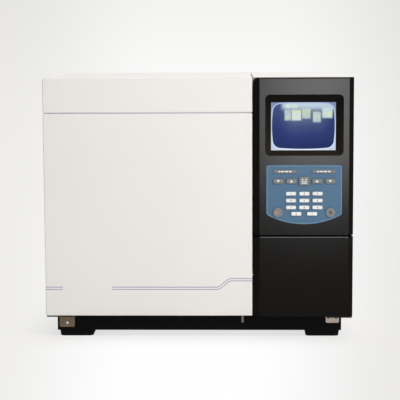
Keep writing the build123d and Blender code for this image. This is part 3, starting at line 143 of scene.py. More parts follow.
def finish(name, steps, inputs, relief=None):
    """A material of one surface, whose inputs are values or names of steps.

    Relief is a step that gives the height, the bump's strength and its depth in metres.
    """
    material, tree, known = new_material(name)
    known = work_out(tree, steps, known)
    filled = {socket: look_up(value, known) for socket, value in inputs.items()}
    if relief:
        height, strength, depth = relief
        lift = {"Height": known[height], "Strength": strength, "Distance": depth}
        filled["Normal"] = add_node(tree, "ShaderNodeBump", lift).outputs["Normal"]
    close_tree(tree, add_node(tree, "ShaderNodeBsdfPrincipled", filled))
    return material


def box_middle(name):
    """X, Y and Z of the middle of a node's box."""
    low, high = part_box(name)
    return (np.array(low) + np.array(high)) / 2


print("words for steps:", *STEP_WORDS)

# %% [markdown]
# ## Finishes
#
# Each finish starts from the real process. Powder coat melts on the sheet in the oven and keeps
# a faint orange peel. A moulding takes the spark-eroded grain of its tool. Rolled and brushed
# metal carries long fine streaks. A pattern's scale is one over its real size, because the
# coordinates are metres. Grain that would be finer than a pixel is drawn a little coarser.

# %% Painted and moulded finishes
PEEL_SIZE, PEEL_DEPTH = 3.5 * MM, 0.02 * MM


def powder_coat(name, light, dark, roughness, specular=0.3):
    """Powder coat on sheet steel: nearly even colour, soft gloss and a shallow orange peel."""
    steps = [
        ("cloud", "NOISE", "point", 4.0),
        ("dimples", "NOISE", "point", 1.0 / PEEL_SIZE),
        ("colour", "BLEND", "cloud", dark, light),
        ("gloss", "RANGE", "dimples", 0.0, 1.0, roughness - 0.05, roughness + 0.05),
    ]
    inputs = {"Base Color": "colour", "Roughness": "gloss", "Specular IOR Level": specular}
    return finish(name, steps, inputs, ("dimples", 0.6, PEEL_DEPTH))


def moulded_plastic(
    name, colour, roughness, grain=1.2 * MM, depth=0.03 * MM, specular=0.5, recess=None
):
    """Injection-moulded plastic: even colour, and the fine grain of a spark-eroded tool.

    A recess is (middle X, middle Z, half width, half height, colour). Its colour is painted light:
    it comes in from the recess's upper edge to its lower one.
    """
    steps = [
        ("grain", "NOISE", "point", 1.0 / grain, 3.0),
        ("drift", "NOISE", "point", 12.0),
        ("value", "RANGE", "drift", 0.0, 1.0, 0.92, 1.08),
        ("base", "DIM", colour, "value"),
    ]
    if recess:
        middle_x, middle_z, half_x, half_z, recess_painted_light = recess
        # painted light in the recess: none at its upper edge, the full given colour at its lower edge
        steps += [
            ("x", "X", "point"),
            ("z", "Z", "point"),
            ("lower", "RANGE", "z", middle_z + half_z, middle_z - half_z),
            ("in_x", "COMPARE", "x", middle_x, half_x),
            ("in_z", "COMPARE", "z", middle_z, half_z),
            ("inside", "MULTIPLY", "in_x", "in_z"),
            ("painted_light", "MULTIPLY", "lower", "inside"),
            ("base", "BLEND", "painted_light", "base", recess_painted_light),
        ]
    inputs = {"Base Color": "base", "Roughness": roughness, "Specular IOR Level": specular}
    return finish(name, steps, inputs, ("grain", 0.5, depth))


# %% Metal finishes
BRUSHED = (0.4 * MM, 40 * MM, 0.4 * MM)
SPANGLE = 9 * MM


def worked_metal(name, light, dark, roughness, streak=BRUSHED):
    """Metal with long fine marks; streak gives their size along X, Y and Z."""
    steps = [
        ("stretched", "STRETCH", "point", tuple(1.0 / length for length in streak)),
        ("marks", "NOISE", "stretched", 1.0, 3.0),
        ("colour", "BLEND", "marks", dark, light),
        ("gloss", "RANGE", "marks", 0.0, 1.0, roughness - 0.08, roughness + 0.08),
    ]
    inputs = {"Base Color": "colour", "Metallic": 1.0, "Roughness": "gloss"}
    return finish(name, steps, inputs, ("marks", 0.4, 0.01 * MM))


def galvanised_sheet(name, light, dark):
    """Hot-dip zinc on steel: a mosaic of crystals, each a slightly different grey."""
    steps = [
        ("crystals", "CELLS", "point", 1.0 / SPANGLE),
        ("shade", "RED", "crystals"),
        ("polish", "GREEN", "crystals"),
        ("colour", "BLEND", "shade", dark, light),
        ("gloss", "RANGE", "polish", 0.0, 1.0, 0.38, 0.55),
    ]
    return finish(name, steps, {"Base Color": "colour", "Metallic": 0.9, "Roughness": "gloss"})


# %% [markdown]
# The three hinge brackets are one set, but the left one is dull and brownish and the right one is
# bright nickel. A step on the X coordinate chooses between the two tones. The flat plates under
# the doors lie in the doors' shadow, and that shade is painted on them as near black. Their height
# tells them from the rest.

# %% Bracket plating
# height of the plates under the doors, and how far above and below it their painted shade reaches
PLATE_HEIGHT = 43.0 * MM
PLATE_REACH = 1.4 * MM


def plated_brackets():
    """Nickel on pressed steel: dull and brownish left of the middle, bright right of it."""
    steps = [
        ("x", "X", "point"),
        ("z", "Z", "point"),
        ("right", "GREATER_THAN", "x", 0.0),
        ("stain", "NOISE", "point", 1.0 / (6 * MM), 4.0),
        ("dull", "BLEND", "stain", "#4A3C2D", "#61503E"),
        ("bright", "BLEND", "stain", "#786E65", "#91867C"),
        ("plating", "BLEND", "right", "dull", "bright"),
        # painted shade: near black on the plates under the doors, which lie in the doors' shadow
        ("plate_painted_shade", "COMPARE", "z", PLATE_HEIGHT, PLATE_REACH),
        ("colour", "BLEND", "plate_painted_shade", "plating", "#0A0A0A"),
    ]
    inputs = {"Base Color": "colour", "Metallic": 0.6, "Roughness": 0.5}
    return finish("bracket_nickel", steps, inputs, ("stain", 0.3, 0.02 * MM))


# %% [markdown]
# Hot parts are packed in fibre. The block is felted and crumbly, so its bump is coarse noise. The
# door's gasket is a braid, drawn with two crossing sets of waves at the braid's pitch.

# %% Fibre finishes
BRAID_PITCH = 3 * MM
# at a scale of 1 the wave texture has a wave every 0.314
BRAID_SCALE = 0.314 / BRAID_PITCH


def felted_fibre(name, light, dark, clump=4 * MM):
    """Moulded ceramic fibre: matt, off-white and a little lumpy."""
    steps = [
        ("lumps", "NOISE", "point", 1.0 / clump, 6.0),
        ("colour", "BLEND", "lumps", dark, light),
    ]
    inputs = {"Base Color": "colour", "Roughness": 0.95}
    return finish(name, steps, inputs, ("lumps", 0.8, 0.4 * MM))


def glass_braid(name, light, dark):
    """Braided glass sleeve: two diagonal sets of waves, the higher one showing."""
    steps = [
        ("leaned", "LEAN", "point", (0.0, math.radians(45), 0.0)),
        ("one_way", "WAVE", "leaned", BRAID_SCALE),
        ("leaned", "LEAN", "point", (0.0, math.radians(-45), 0.0)),
        ("other_way", "WAVE", "leaned", BRAID_SCALE),
        ("weave", "MAXIMUM", "one_way", "other_way"),
        ("colour", "BLEND", "weave", dark, light),
    ]
    inputs = {"Base Color": "colour", "Roughness": 0.9}
    return finish(name, steps, inputs, ("weave", 0.8, 0.4 * MM))


# %% [markdown]
# ## Display
#
# A lit liquid-crystal panel is a deep blue field. A reflection is painted on it: the field grows
# paler towards the top, a pale haze lies along its upper edge, and a row of pale blocks, painted
# reflections of a window's panes, some with yellowish glints, lies on its upper half. The lamp
# behind it leaks out around the glass, brightest along the lower edge. The field's outline is a
# rectangle with bulging sides: the distance to a rounded rectangle whose half-width shrinks with
# the square of the height, and whose half-height shrinks with the square of the width. The panel
# makes its own light, so the pattern, painted reflection included, goes to emission, over a dark
# frame.

# %% Display panel
WINDOW_X, _, WINDOW_Z = box_middle("display_window").tolist()
WINDOW_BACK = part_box("display_window")[1].y
HALF_X, HALF_Z = 60.5 * MM, 44.2 * MM
CORNER = 11.0 * MM
# share of the way up the field and its colour there
FIELD_TONES = (
    (0.28, "#2B3870"),
    (0.5, "#43507C"),
    (0.66, "#5C6A8C"),
    (0.82, "#6F7F8F"),
)
# painted reflections of window panes, as pale blocks on the upper half: middle X and Z, width and
# height in millimetres, and strength
PAINTED_PANE_REFLECTIONS = (
    (-30.0, 21.5, 12.0, 20.0, 0.75),
    (-13.5, 21.5, 18.0, 20.0, 1.0),
    (5.5, 24.5, 16.5, 19.0, 0.7),
    (26.0, 18.0, 15.0, 20.0, 0.75),
    (46.0, 26.0, 20.0, 20.0, 0.9),
    (-29.0, 39.0, 9.5, 8.0, 1.0),
    (-17.0, 39.0, 11.0, 8.0, 0.8),
)


def lit_panel():
    """Blue field with painted reflections and a bright leaking edge, on the front face of the display
    module.
    """
    material, tree, known = new_material("display_panel")
    steps = [
        ("x", "X", "point"),
        ("y", "Y", "point"),
        ("z", "Z", "point"),
        ("across", "SUBTRACT", "x", WINDOW_X),
        ("up", "SUBTRACT", "z", WINDOW_Z),
        ("off_x", "ABSOLUTE", "across"),
        ("off_z", "ABSOLUTE", "up"),
        # how far the point lies beyond the outline's straight parts
        ("up_squared", "MULTIPLY", "up", "up"),
        ("bulge_side", "MULTIPLY", "up_squared", 2.2),
        ("across_squared", "MULTIPLY", "across", "across"),
        ("bulge_top", "MULTIPLY", "across_squared", 0.9),
        ("side", "SUBTRACT", HALF_X - CORNER, "bulge_side"),
        ("out_x", "SUBTRACT", "off_x", "side"),
        ("raised", "SUBTRACT", "up", 0.5 * MM),
        ("off_raised", "ABSOLUTE", "raised"),
        ("top", "SUBTRACT", HALF_Z - CORNER, "bulge_top"),
        ("out_z", "SUBTRACT", "off_raised", "top"),
        # distance to the rounded outline, negative inside it
        ("beyond_x", "MAXIMUM", "out_x", 0.0),
        ("beyond_z", "MAXIMUM", "out_z", 0.0),
        ("square_x", "MULTIPLY", "beyond_x", "beyond_x"),
        ("square_z", "MULTIPLY", "beyond_z", "beyond_z"),
        ("squares", "ADD", "square_x", "square_z"),
        ("radial", "SQRT", "squares"),
        ("nearer", "MAXIMUM", "out_x", "out_z"),
        ("inside", "MINIMUM", "nearer", 0.0),
        ("both", "ADD", "radial", "inside"),
        ("distance", "SUBTRACT", "both", CORNER),
        ("leak", "SMOOTH", "distance", -0.6 * MM, 0.6 * MM),
        ("beyond_line", "SMOOTH", "distance", 1.6 * MM, 3.2 * MM),
        # painted reflection: the field grows paler upwards, most of all in a patch right of the middle
        ("tilt", "MULTIPLY", "across", 0.12),
        ("slope", "SUBTRACT", "up", "tilt"),
        ("level", "RANGE", "slope", -HALF_Z, HALF_Z),
        ("from_patch", "SUBTRACT", "across", 6.0 * MM),
        ("off_patch", "ABSOLUTE", "from_patch"),
        ("patch", "SMOOTH", "off_patch", 58.0 * MM, 22.0 * MM),
        ("half_patch", "MULTIPLY", "patch", 0.5),
        ("patch_light", "ADD", "half_patch", 0.5),
        ("level", "MULTIPLY", "level", "patch_light"),
        ("mottle", "NOISE", "point", 1.0 / (7 * MM), 2.0),
    ]
    known = work_out(tree, steps, known)
    tones = add_node(tree, "ShaderNodeValToRGB", {"Fac": known["level"]})
    for position, shade in FIELD_TONES:
        tones.color_ramp.elements.new(position).color = linear(shade)
    tones.color_ramp.elements[0].color = linear("#1B2B5E")
    tones.color_ramp.elements[-1].color = linear("#8292A6")
    known.update(tones=tones.outputs["Color"], lit_blocks=0.0)
    steps = []
    for middle_x, middle_z, wide, high, strength in PAINTED_PANE_REFLECTIONS:
        steps += [
            ("from_x", "SUBTRACT", "across", middle_x * MM),
            ("from_z", "SUBTRACT", "up", middle_z * MM),
            ("far_x", "ABSOLUTE", "from_x"),
            ("far_z", "ABSOLUTE", "from_z"),
            ("in_x", "SMOOTH", "far_x", (wide / 2 + 1.6) * MM, (wide / 2 - 1.6) * MM),
            ("in_z", "SMOOTH", "far_z", (high / 2 + 2.5) * MM, (high / 2 - 2.5) * MM),
            ("shape", "MULTIPLY", "in_x", "in_z"),
            ("block", "MULTIPLY", "shape", strength),
            ("lit_blocks", "MAXIMUM", "block", "lit_blocks"),
        ]
    steps += [
        # painted reflection of window panes: patchy pale blocks, some with yellowish glints
        ("patchy", "ADD", "mottle", 0.5),
        ("uneven", "MULTIPLY", "lit_blocks", "patchy"),
        ("painted_glints", "SMOOTH", "mottle", 0.45, 0.72),
        ("pane_reflection_colour", "BLEND", "painted_glints", "#DDEBE2", "#E2E6A0"),
        # painted reflection: a pale haze along the top, except at the far left
        ("haze_top", "SMOOTH", "up", HALF_Z - 17 * MM, HALF_Z - 4 * MM),
        ("haze_side", "SMOOTH", "across", -46.0 * MM, -36.0 * MM),
        ("painted_haze", "MULTIPLY", "haze_top", "haze_side"),
        ("painted_haze", "MULTIPLY", "painted_haze", 0.88),
        ("field", "BLEND", "painted_haze", "tones", "#D0DEE6"),
        ("field", "BLEND", "uneven", "field", "pane_reflection_colour"),
        ("height", "RANGE", "up", -HALF_Z, HALF_Z),
        ("line", "BLEND", "height", "#EFF2F7", "#B6C3DC"),
        ("rim", "BLEND", "height", "#D3D9E6", "#8493B2"),
        ("border", "BLEND", "beyond_line", "line", "rim"),
        ("picture", "BLEND", "leak", "field", "border"),
        # only the part behind the window is lit; the module's sides stay dark
        ("lit_x", "LESS_THAN", "off_x", 66.0 * MM),
        ("lit_z", "LESS_THAN", "off_z", 50.0 * MM),
        ("front", "LESS_THAN", "y", WINDOW_BACK + 0.5 * MM),
        ("lit", "MULTIPLY", "lit_x", "lit_z"),
        ("lit", "MULTIPLY", "lit", "front"),
    ]
    known = work_out(tree, steps, known)
    inputs = {
        "Base Color": linear("#0C0D10"),
        "Roughness": 0.8,
        "Specular IOR Level": 0.0,
        "Emission Color": known["picture"],
        "Emission Strength": known["lit"],
    }
    close_tree(tree, add_node(tree, "ShaderNodeBsdfPrincipled", inputs))
    return material


# %% Display window


def clear_plate():
    """Anti-glare acrylic: clear, with a weak soft reflection that grows towards grazing angles."""
    material, tree, known = new_material("acrylic_window")
    known["edge"] = add_node(tree, "ShaderNodeFresnel", {"IOR": 1.49}).outputs["Fac"]
    steps = [
        ("rub", "NOISE", "point", 60.0, 4.0),
        ("gloss", "RANGE", "rub", 0.0, 1.0, 0.2, 0.3),
        ("coated", "MULTIPLY", "edge", 0.015),
    ]
    known = work_out(tree, steps, known)
    through = add_node(tree, "ShaderNodeBsdfTransparent", {"Color": linear("#F4F8FF")})
    mirror = add_node(tree, "ShaderNodeBsdfGlossy", {"Roughness": known["gloss"]})
    mixed = {0: known["coated"], 1: through.outputs[0], 2: mirror.outputs[0]}
    close_tree(tree, add_node(tree, "ShaderNodeMixShader", mixed))
    return material


# %% [markdown]
# ## Keypad film
#
# The overlay is a polyester film printed on its back, so the colour lies under a clear satin
# skin. The two legend bars are embossed and printed grey. They are the only part that stands
# forward of the film, so the Y coordinate tells them apart.

# %% Keypad film
overlay_low, overlay_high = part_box("keypad_overlay")
OVERLAY_FACE = overlay_high.y - 0.7 * MM


def printed_film():
    """Blue print under a satin film, with grey embossed bars."""
    steps = [
        ("y", "Y", "point"),
        ("embossed", "LESS_THAN", "y", OVERLAY_FACE - 0.4 * MM),
        ("speckle", "NOISE", "point", 1.0 / (2.5 * MM), 2.0),
        ("blue", "BLEND", "speckle", "#436785", "#507493"),
        ("colour", "BLEND", "embossed", "blue", "#767B7E"),
    ]
    inputs = {"Base Color": "colour", "Roughness": 0.45, "Specular IOR Level": 0.12}
    return finish("keypad_film", steps, inputs, ("speckle", 0.3, 0.02 * MM))


# %% [markdown]
# ## Give every node its finish
#
# One table says which finish each node has. The names on the left are the nodes of the packed
# model, so a wrong name would stop the script here.

# %% Make the finishes and hand them out
white_coat = powder_coat("white_powder_coat", "#F0EFED", "#EBE9E6", 0.5)
black_coat = powder_coat("black_powder_coat", "#0A0A0A", "#070707", 0.6, specular=0.03)
black_moulding = moulded_plastic("black_abs_moulding", "#0D0B09", 0.2, specular=0.053)
# middle X and Z, half width and half height of the recess round the display
BEZEL = (205.0 * MM, 418.75 * MM, 75.0 * MM, 58.5 * MM)
# the recess round the display is painted lighter towards its lower edge: painted light
console_moulding = moulded_plastic(
    "console_abs_moulding", "#0D0B09", 0.2, specular=0.053, recess=(*BEZEL, "#27231B")
)
foot_rubber = moulded_plastic("black_rubber", "#111111", 0.75, grain=2 * MM, specular=0.05)
gloss_plastic = moulded_plastic("black_phenolic", "#0C0C0D", 0.25, depth=0.01 * MM)
white_cap = moulded_plastic("white_key_plastic", "#EFF1F0", 0.45, depth=0.01 * MM, specular=0.2)
grey_cap = moulded_plastic("grey_key_plastic", "#7F8586", 0.5, depth=0.01 * MM, specular=0.06)
stainless = worked_metal("brushed_stainless", "#B9B8B4", "#8E8D8A", 0.32)
oxide_wire = worked_metal("oxidised_wire", "#6A5B52", "#3A322E", 0.55)
tube_steel = worked_metal("drawn_tube_steel", "#C9C6BE", "#9A978F", 0.28, (4 * MM, 4 * MM, 4 * MM))
brass = worked_metal("turned_brass", "#C9A55A", "#9C7A38", 0.3, (1 * MM, 0.3 * MM, 1 * MM))
aluminium = worked_metal("milled_aluminium", "#C6C7C8", "#9FA0A2", 0.35, (8 * MM, 0.5 * MM, 0.5 * MM))
zinc_sheet = galvanised_sheet("galvanised_sheet", "#B2B5B7", "#9A9EA0")
nickel = plated_brackets()
worn_steel = worked_metal("worn_steel", "#6C665D", "#4A463F", 0.5, (1 * MM, 1 * MM, 8 * MM))
fibre = felted_fibre("ceramic_fibre", "#E9E5DA", "#CFC9BB")
braid = glass_braid("glass_braid", "#B9B19E", "#6E6656")
panel = lit_panel()
acrylic = clear_plate()
film = printed_film()
board_green = moulded_plastic("solder_mask", "#1F5A3A", 0.35, grain=5 * MM, depth=0.05 * MM)
winding = worked_metal("enamelled_winding", "#8A5A34", "#4A3220", 0.45, (6 * MM, 1 * MM, 1 * MM))

number_keys = ["key_point"] + [f"key_{digit}" for digit in range(10)]
# which way the triangle on each arrow key points: 1 is up
arrow_tips = {"key_left_down": -1, "key_left_up": 1, "key_right_up": 1, "key_right_down": -1}
grey_keys = [*arrow_tips, "key_menu", "key_start", "key_stop"]
knobs = [f"valve_knob_{number}" for number in (1, 2, 3)]

finishes = [
    (white_coat, ["oven_door_skin", "top_cover", "right_cover", "left_side_panel", "oven_front_frame"]),
    # the gas panel's black is painted shade: seen through the groove above the gas door, it stands in
    # for the groove's shade
    (black_coat, ["base_frame", "fan_motor", "gas_panel"]),
    (console_moulding, ["fascia"]),
    (black_moulding, ["gas_door"]),
    (foot_rubber, ["feet"]),
    (gloss_plastic, ["mains_inlet", "power_rocker", "pressure_gauges", *knobs]),
    (white_cap, number_keys),
    (grey_cap, grey_keys),
    (stainless, ["oven_liner", "oven_door_liner", "fan_baffle", "oven_fan", "septum_nuts"]),
    (oxide_wire, ["heater_coil"]),
    (tube_steel, ["packed_column"]),
    (brass, ["gas_fittings"]),
    (aluminium, ["injectors", "detectors"]),
    (zinc_sheet, ["rear_panel", "oven_jacket", "top_deck", "vent_flap"]),
    (nickel, ["hinge_brackets"]),
    (worn_steel, ["latch_pin"]),
    (fibre, ["oven_insulation", "oven_door_insulation"]),
    (braid, ["oven_door_gasket"]),
    (panel, ["display_module"]),
    (acrylic, ["display_window"]),
    (film, ["keypad_overlay"]),
    (board_green, ["keypad_board", "main_board"]),
    (winding, ["transformer"]),
]
dressed = set()
for material, names in finishes:
    for name in names:
        slots = nodes[name].data.materials
        slots.clear()
        slots.append(material)
        dressed.add(name)
print("nodes without a finish:", sorted(set(nodes) - dressed))

# %% [markdown]
# ## Small pieces as swept and turned surfaces
#
# Printed lines, wires and screws are all one kind of surface: a grid of points that closes round
# its outline. A line is an outline carried along a path, and a screw is a profile turned about
# an axis. Both could be made with curve objects, but a grid of points keeps the number of faces
# in hand and puts each piece straight into its place.

# %% Grids to pieces


def put(name, mesh, material, body):
    """Makes a mesh a piece: clean, facing outward, with a finish, riding on a body."""
    shell = bmesh.new()
    shell.from_mesh(mesh)
    bmesh.ops.remove_doubles(shell, verts=shell.verts, dist=1e-7)
    bmesh.ops.recalc_face_normals(shell, faces=shell.faces)
    shell.to_mesh(mesh)
    shell.free()
    mesh.materials.append(material)
    piece = bpy.data.objects.new(name, mesh)
    bpy.context.scene.collection.objects.link(piece)
    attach(piece, body)
    return piece


def grid_piece(name, grids, material, body):
    """One piece from grids of points, given as pairs (points, closes along the path).

    Rows follow the path and columns go round the outline. A face joins (r, c), (r, c + 1),
    (r + 1, c + 1) and (r + 1, c), where c + 1 starts again after the last column. On a ring
    r + 1 starts again too; an open grid gets one flat face at either end.
    """
    points, faces, start = [], [], 0
    for grid, ring in grids:
        rows, columns = grid.shape[:2]
        r, c = np.meshgrid(
            np.arange(rows if ring else rows - 1), np.arange(columns), indexing="ij"
        )
        below, beside = (r + 1) % rows, (c + 1) % columns
        corners = [
            r * columns + c,
            r * columns + beside,
            below * columns + beside,
            below * columns + c,
        ]
        faces += (np.stack(corners, axis=-1).reshape(-1, 4) + start).tolist()
        if not ring:
            faces.append((np.arange(columns)[::-1] + start).tolist())
            faces.append((np.arange(columns) + start + (rows - 1) * columns).tolist())
        points.append(grid.reshape(-1, 3))
        start += rows * columns
    mesh = bpy.data.meshes.new(name)
    mesh.from_pydata(np.concatenate(points).tolist(), [], faces)
    return put(name, mesh, material, body)


def unit(vectors):
    """Each vector divided by its length."""
    return vectors / np.linalg.norm(vectors, axis=-1, keepdims=True)


def carried(path, outline, outward, ring=False):
    """An outline carried along a path.

    The direction of travel is the difference of a point's neighbours. Sideways is travel cross
    outward, and outward is then squared up as sideways cross travel. Each outline point (a, b)
    lies a sideways and b outward of the path.
    """
    if ring:
        travel = np.roll(path, -1, axis=0) - np.roll(path, 1, axis=0)
    else:
        travel = np.gradient(path, axis=0)
    travel = unit(travel)
    sideways = unit(np.cross(travel, outward))
    squared = np.cross(sideways, travel)
    a, b = outline[:, 0, None], outline[:, 1, None]
    return path[:, None] + a * sideways[:, None] + b * squared[:, None]


def turned(profile, centre, axis, steps=32, ripple=0.0, waves=0):
    """A profile of (radius, distance along the axis) turned about an axis through centre.

    The point at angle t lies at radius times (cos t, sin t) in the plane across the axis. With
    waves, the radius gains ripple times the absolute sine of waves times t, as knurling does.
    """
    axis = np.array(axis, dtype=float)
    across = np.roll(axis, 1)
    up = np.cross(axis, across)
    angle = np.linspace(0, 2 * np.pi, steps, endpoint=False)
    radius = profile[:, 0, None] + ripple * np.abs(np.sin(waves * angle))
    ring = np.cos(angle)[:, None] * across + np.sin(angle)[:, None] * up
    return np.array(centre) + radius[..., None] * ring + profile[:, 1, None, None] * axis


def corner_cut(path, ring, times=3):
    """A path with its corners rounded by cutting them off a number of times.

    Each cut replaces every side by the two points a quarter and three quarters along it.
    """
    for _ in range(times):
        after = np.roll(path, -1, axis=0) if ring else path[1:]
        before = path if ring else path[:-1]
        cut = np.stack([0.75 * before + 0.25 * after, 0.25 * before + 0.75 * after], axis=1)
        cut = cut.reshape(-1, 3)
        path = cut if ring else np.concatenate([path[:1], cut, path[-1:]])
    return path


def ribbon(width, thickness):
    """The outline of a thin flat line, centred on its path and standing outward of it."""
    half = width / 2
    return np.array([[-half, 0.0], [half, 0.0], [half, thickness], [-half, thickness]])


def slab(outline, back, front):
    """A flat shape in X and Z with a thickness from back to front along Y."""
    flat = np.asarray(outline, dtype=float)
    rows = [np.stack([flat[:, 0], np.full(len(flat), y), flat[:, 1]], axis=1) for y in (back, front)]
    return np.stack(rows)


def printed_ink(name, colour, roughness=0.5):
    """Screen-printed ink: a matt film whose density varies a little with the mesh it came by."""
    steps = [
        ("mesh", "NOISE", "point", 1.0 / (0.8 * MM)),
        ("density", "RANGE", "mesh", 0.0, 1.0, 0.93, 1.05),
        ("tone", "DIM", colour, "density"),
    ]
    inputs = {"Base Color": "tone", "Roughness": roughness, "Specular IOR Level": 0.2}
    return finish(name, steps, inputs)


TO_FRONT = np.array([0.0, -1.0, 0.0])
INK = 0.05 * MM
print("surface helpers ready, ink film", INK / MM, "mm")

# %% [markdown]
# ## Printed lines on the oven door
#
# Two thin lilac lines run across the lower part of the door and step up near its free edge. They
# are screen-printed, so they are ribbons a twentieth of a millimetre thick. The two bends of the
# step are rounded by cutting corners off a plain path.

# %% Door lines
door_low, door_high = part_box("oven_door_skin")
lilac = printed_ink("lilac_print", "#8488B2")
LINE_Z = 100.0 * MM
LINE_APART = 4.4 * MM
LINE_WIDTH = 1.3 * MM
STEP_RISE = 17.0 * MM
EDGE_GAP = 0.6 * MM
# places along X: the end of the short left part, the start of the long one, and the step's bends
SHORT_END, LONG_START = -266 * MM, -169 * MM
STEP_X = (33 * MM, 40 * MM, 60 * MM, 67 * MM)


def door_line(across, up):
    """A path in the door's front plane; across and up are equal lists of X and Z."""
    points = np.array([[x, door_low.y, z] for x, z in zip(across, up)])
    return carried(corner_cut(points, False), ribbon(LINE_WIDTH, INK), TO_FRONT)


door_lines = []
for shift in (-LINE_APART / 2, LINE_APART / 2):
    low_z, high_z = LINE_Z + shift, LINE_Z + shift + STEP_RISE
    short_x = [door_low.x + EDGE_GAP, -283 * MM, SHORT_END]
    door_lines.append((door_line(short_x, [low_z] * 3), False))
    lean = -0.35 * shift
    bends = [STEP_X[0], STEP_X[1] + lean, STEP_X[2] + lean, STEP_X[3]]
    xs = [LONG_START, *bends, door_high.x - EDGE_GAP]
    door_lines.append((door_line(xs, [low_z] * 3 + [high_z] * 3), False))
grid_piece("door_lines", door_lines, lilac, "oven_door")
print("door lines:", len(door_lines), "ribbons")

# %% [markdown]
# ## Painted highlight on the gas door's edge
#
# A thin line along the gas door's upper edge, below the groove, is painted grey where the edge
# catches the light: a painted highlight. It is one more ribbon, a thin grey film on the moulding.

# %% Painted highlight on the gas door's edge
gas_low, gas_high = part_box("gas_door")
# painted highlight: grey ink where the door's upper edge catches the light
painted_highlight = printed_ink("painted_highlight_abs", "#5E5D5C", 0.4)
EDGE_WIDTH = 1.1 * MM
edge_ends = (gas_low.x + 13 * MM, gas_high.x - 10 * MM)
edge_points = [[x, gas_low.y, gas_high.z - EDGE_WIDTH / 2 - 0.1 * MM] for x in edge_ends]
edge = carried(np.array(edge_points), ribbon(EDGE_WIDTH, INK), TO_FRONT)
grid_piece("gas_door_edge_highlight", [(edge, False)], painted_highlight, "gas_door")
print("rubbed edge", round((edge_ends[1] - edge_ends[0]) / MM, 1), "mm long")

# %% [markdown]
# ## Painted light in the seam under the cover
#
# A pale strip behind the cover's front edge fills the seam between the cover and the door, so the
# seam shows as a light grey line in place of its shade: painted light. A rectangle carried along X
# is all that it takes.

# %% Cover strip
cover_low, cover_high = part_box("top_cover")
# painted light: a pale strip that lightens the shaded seam under the cover
seam_light = felted_fibre("painted_seam_light", "#E4E5EE", "#D2D3DE", 1.5 * MM)
strip_path = np.array(
    [[x, cover_low.y + 0.2 * MM, cover_low.z - 0.1 * MM] for x in (cover_low.x, cover_high.x)]
)
strip_path[:, 0] += np.array([2.0, -2.0]) * MM
strip_outline = np.array([[0.0, 0.0], [1.5, 0.0], [1.5, -3.0], [0.0, -3.0]]) * MM
strip = carried(strip_path, strip_outline, TO_FRONT)
grid_piece("cover_seam_light", [(strip, False)], seam_light, "top_cover")
print("strip from", strip.min(axis=(0, 1)).round(4), "to", strip.max(axis=(0, 1)).round(4))

# %% [markdown]
# ## Key legends
#
# The legends are pad-printed on the key tops: dark figures on the white number keys, pale
# triangles on the grey arrow keys, and simple signs on the rest. Each one rides on its own key,
# so it sinks with the key when the key is pressed. The figures come from the built-in font,
# which is turned into a mesh first.

# %% Figures and signs
dark_ink = printed_ink("dark_key_ink", "#55524E")
pale_ink = printed_ink("pale_key_ink", "#F2F2EE")
red_ink = printed_ink("red_key_ink", "#B58272")


def figures(name, items, material, body):
    """Block figures as one piece; items are (text, height, centre).

    The font's letters lie in X and Y with their thickness in Z. X stays X, the letter's Y
    becomes Z, and its thickness becomes -Y, so that the text faces the front.
    """
    points, faces, start = [], [], 0
    for text, height, centre in items:
        curve = bpy.data.curves.new(name, "FONT")
        curve.body = text
        curve.size = height / 0.7
        curve.extrude = INK / 2
        curve.resolution_u = 3
        curve.align_x = "CENTER"
        curve.align_y = "CENTER"
        holder = bpy.data.objects.new(name, curve)
        bpy.context.scene.collection.objects.link(holder)
        graph = bpy.context.evaluated_depsgraph_get()
        drawn = bpy.data.meshes.new_from_object(holder.evaluated_get(graph))
        bpy.data.objects.remove(holder)
        flat = np.empty(3 * len(drawn.vertices))
        drawn.vertices.foreach_get("co", flat)
        flat = flat.reshape(-1, 3)
        middle = (flat.min(axis=0) + flat.max(axis=0)) / 2
        flat = flat - middle
        turned_up = np.stack([flat[:, 0], -flat[:, 2], flat[:, 1]], axis=1)
        points.append(turned_up + np.array(centre))
        faces += [[start + v for v in polygon.vertices] for polygon in drawn.polygons]
        start += len(flat)
    mesh = bpy.data.meshes.new(name)
    mesh.from_pydata(np.concatenate(points).tolist(), [], faces)
    return put(name, mesh, material, body)


def front_middle(name):
    """Middle of a node's front face."""
    middle = box_middle(name)
    middle[1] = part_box(name)[0].y
    return middle


def key_sign(key, outlines, material):
    """Flat signs on a key, as outlines in millimetres from the key's middle."""
    middle = front_middle(key)
    grids = [
        (slab(np.array(outline) * MM + middle[[0, 2]], middle[1], middle[1] - INK), False)
        for outline in outlines
    ]
    return grid_piece(f"sign_{key}", grids, material, key)


def bar(across, up, width, height):
    """A rectangle about a middle point, as an outline in millimetres."""
    w, h = width / 2, height / 2
    return [(across - w, up - h), (across + w, up - h), (across + w, up + h), (across - w, up + h)]


for digit in range(10):
    key = f"key_{digit}"
    spot = front_middle(key) + TO_FRONT * INK / 2
    figures(f"figure_{key}", [(str(digit), 4.2 * MM, spot)], dark_ink, key)
angles = np.linspace(0, 2 * np.pi, 12, endpoint=False)
dot = np.stack([np.cos(angles), np.sin(angles)], axis=1)
key_sign("key_point", [dot * 0.9], dark_ink)
for key, tip in arrow_tips.items():
    triangle = [(-2.9, -2.1 * tip), (2.9, -2.1 * tip), (0.0, 2.6 * tip)]
    key_sign(key, [triangle], pale_ink)
menu_bars = [bar(0, level, 11.0, 1.3) for level in (-4.0, -1.2)]
menu_bars += [bar(side * 3.4, 3.0, 2.6, 2.6) for side in (-1, 1)]
key_sign("key_menu", menu_bars, pale_ink)
start_sign = [[(-3.0, -3.6), (4.2, 0.0), (-3.0, 3.6)], bar(-5.0, 0, 1.4, 7.2)]
key_sign("key_start", start_sign, red_ink)
key_sign("key_stop", [bar(0, 0, 6.0, 6.0)], dark_ink)
print("keys with a legend:", len(number_keys + grey_keys))

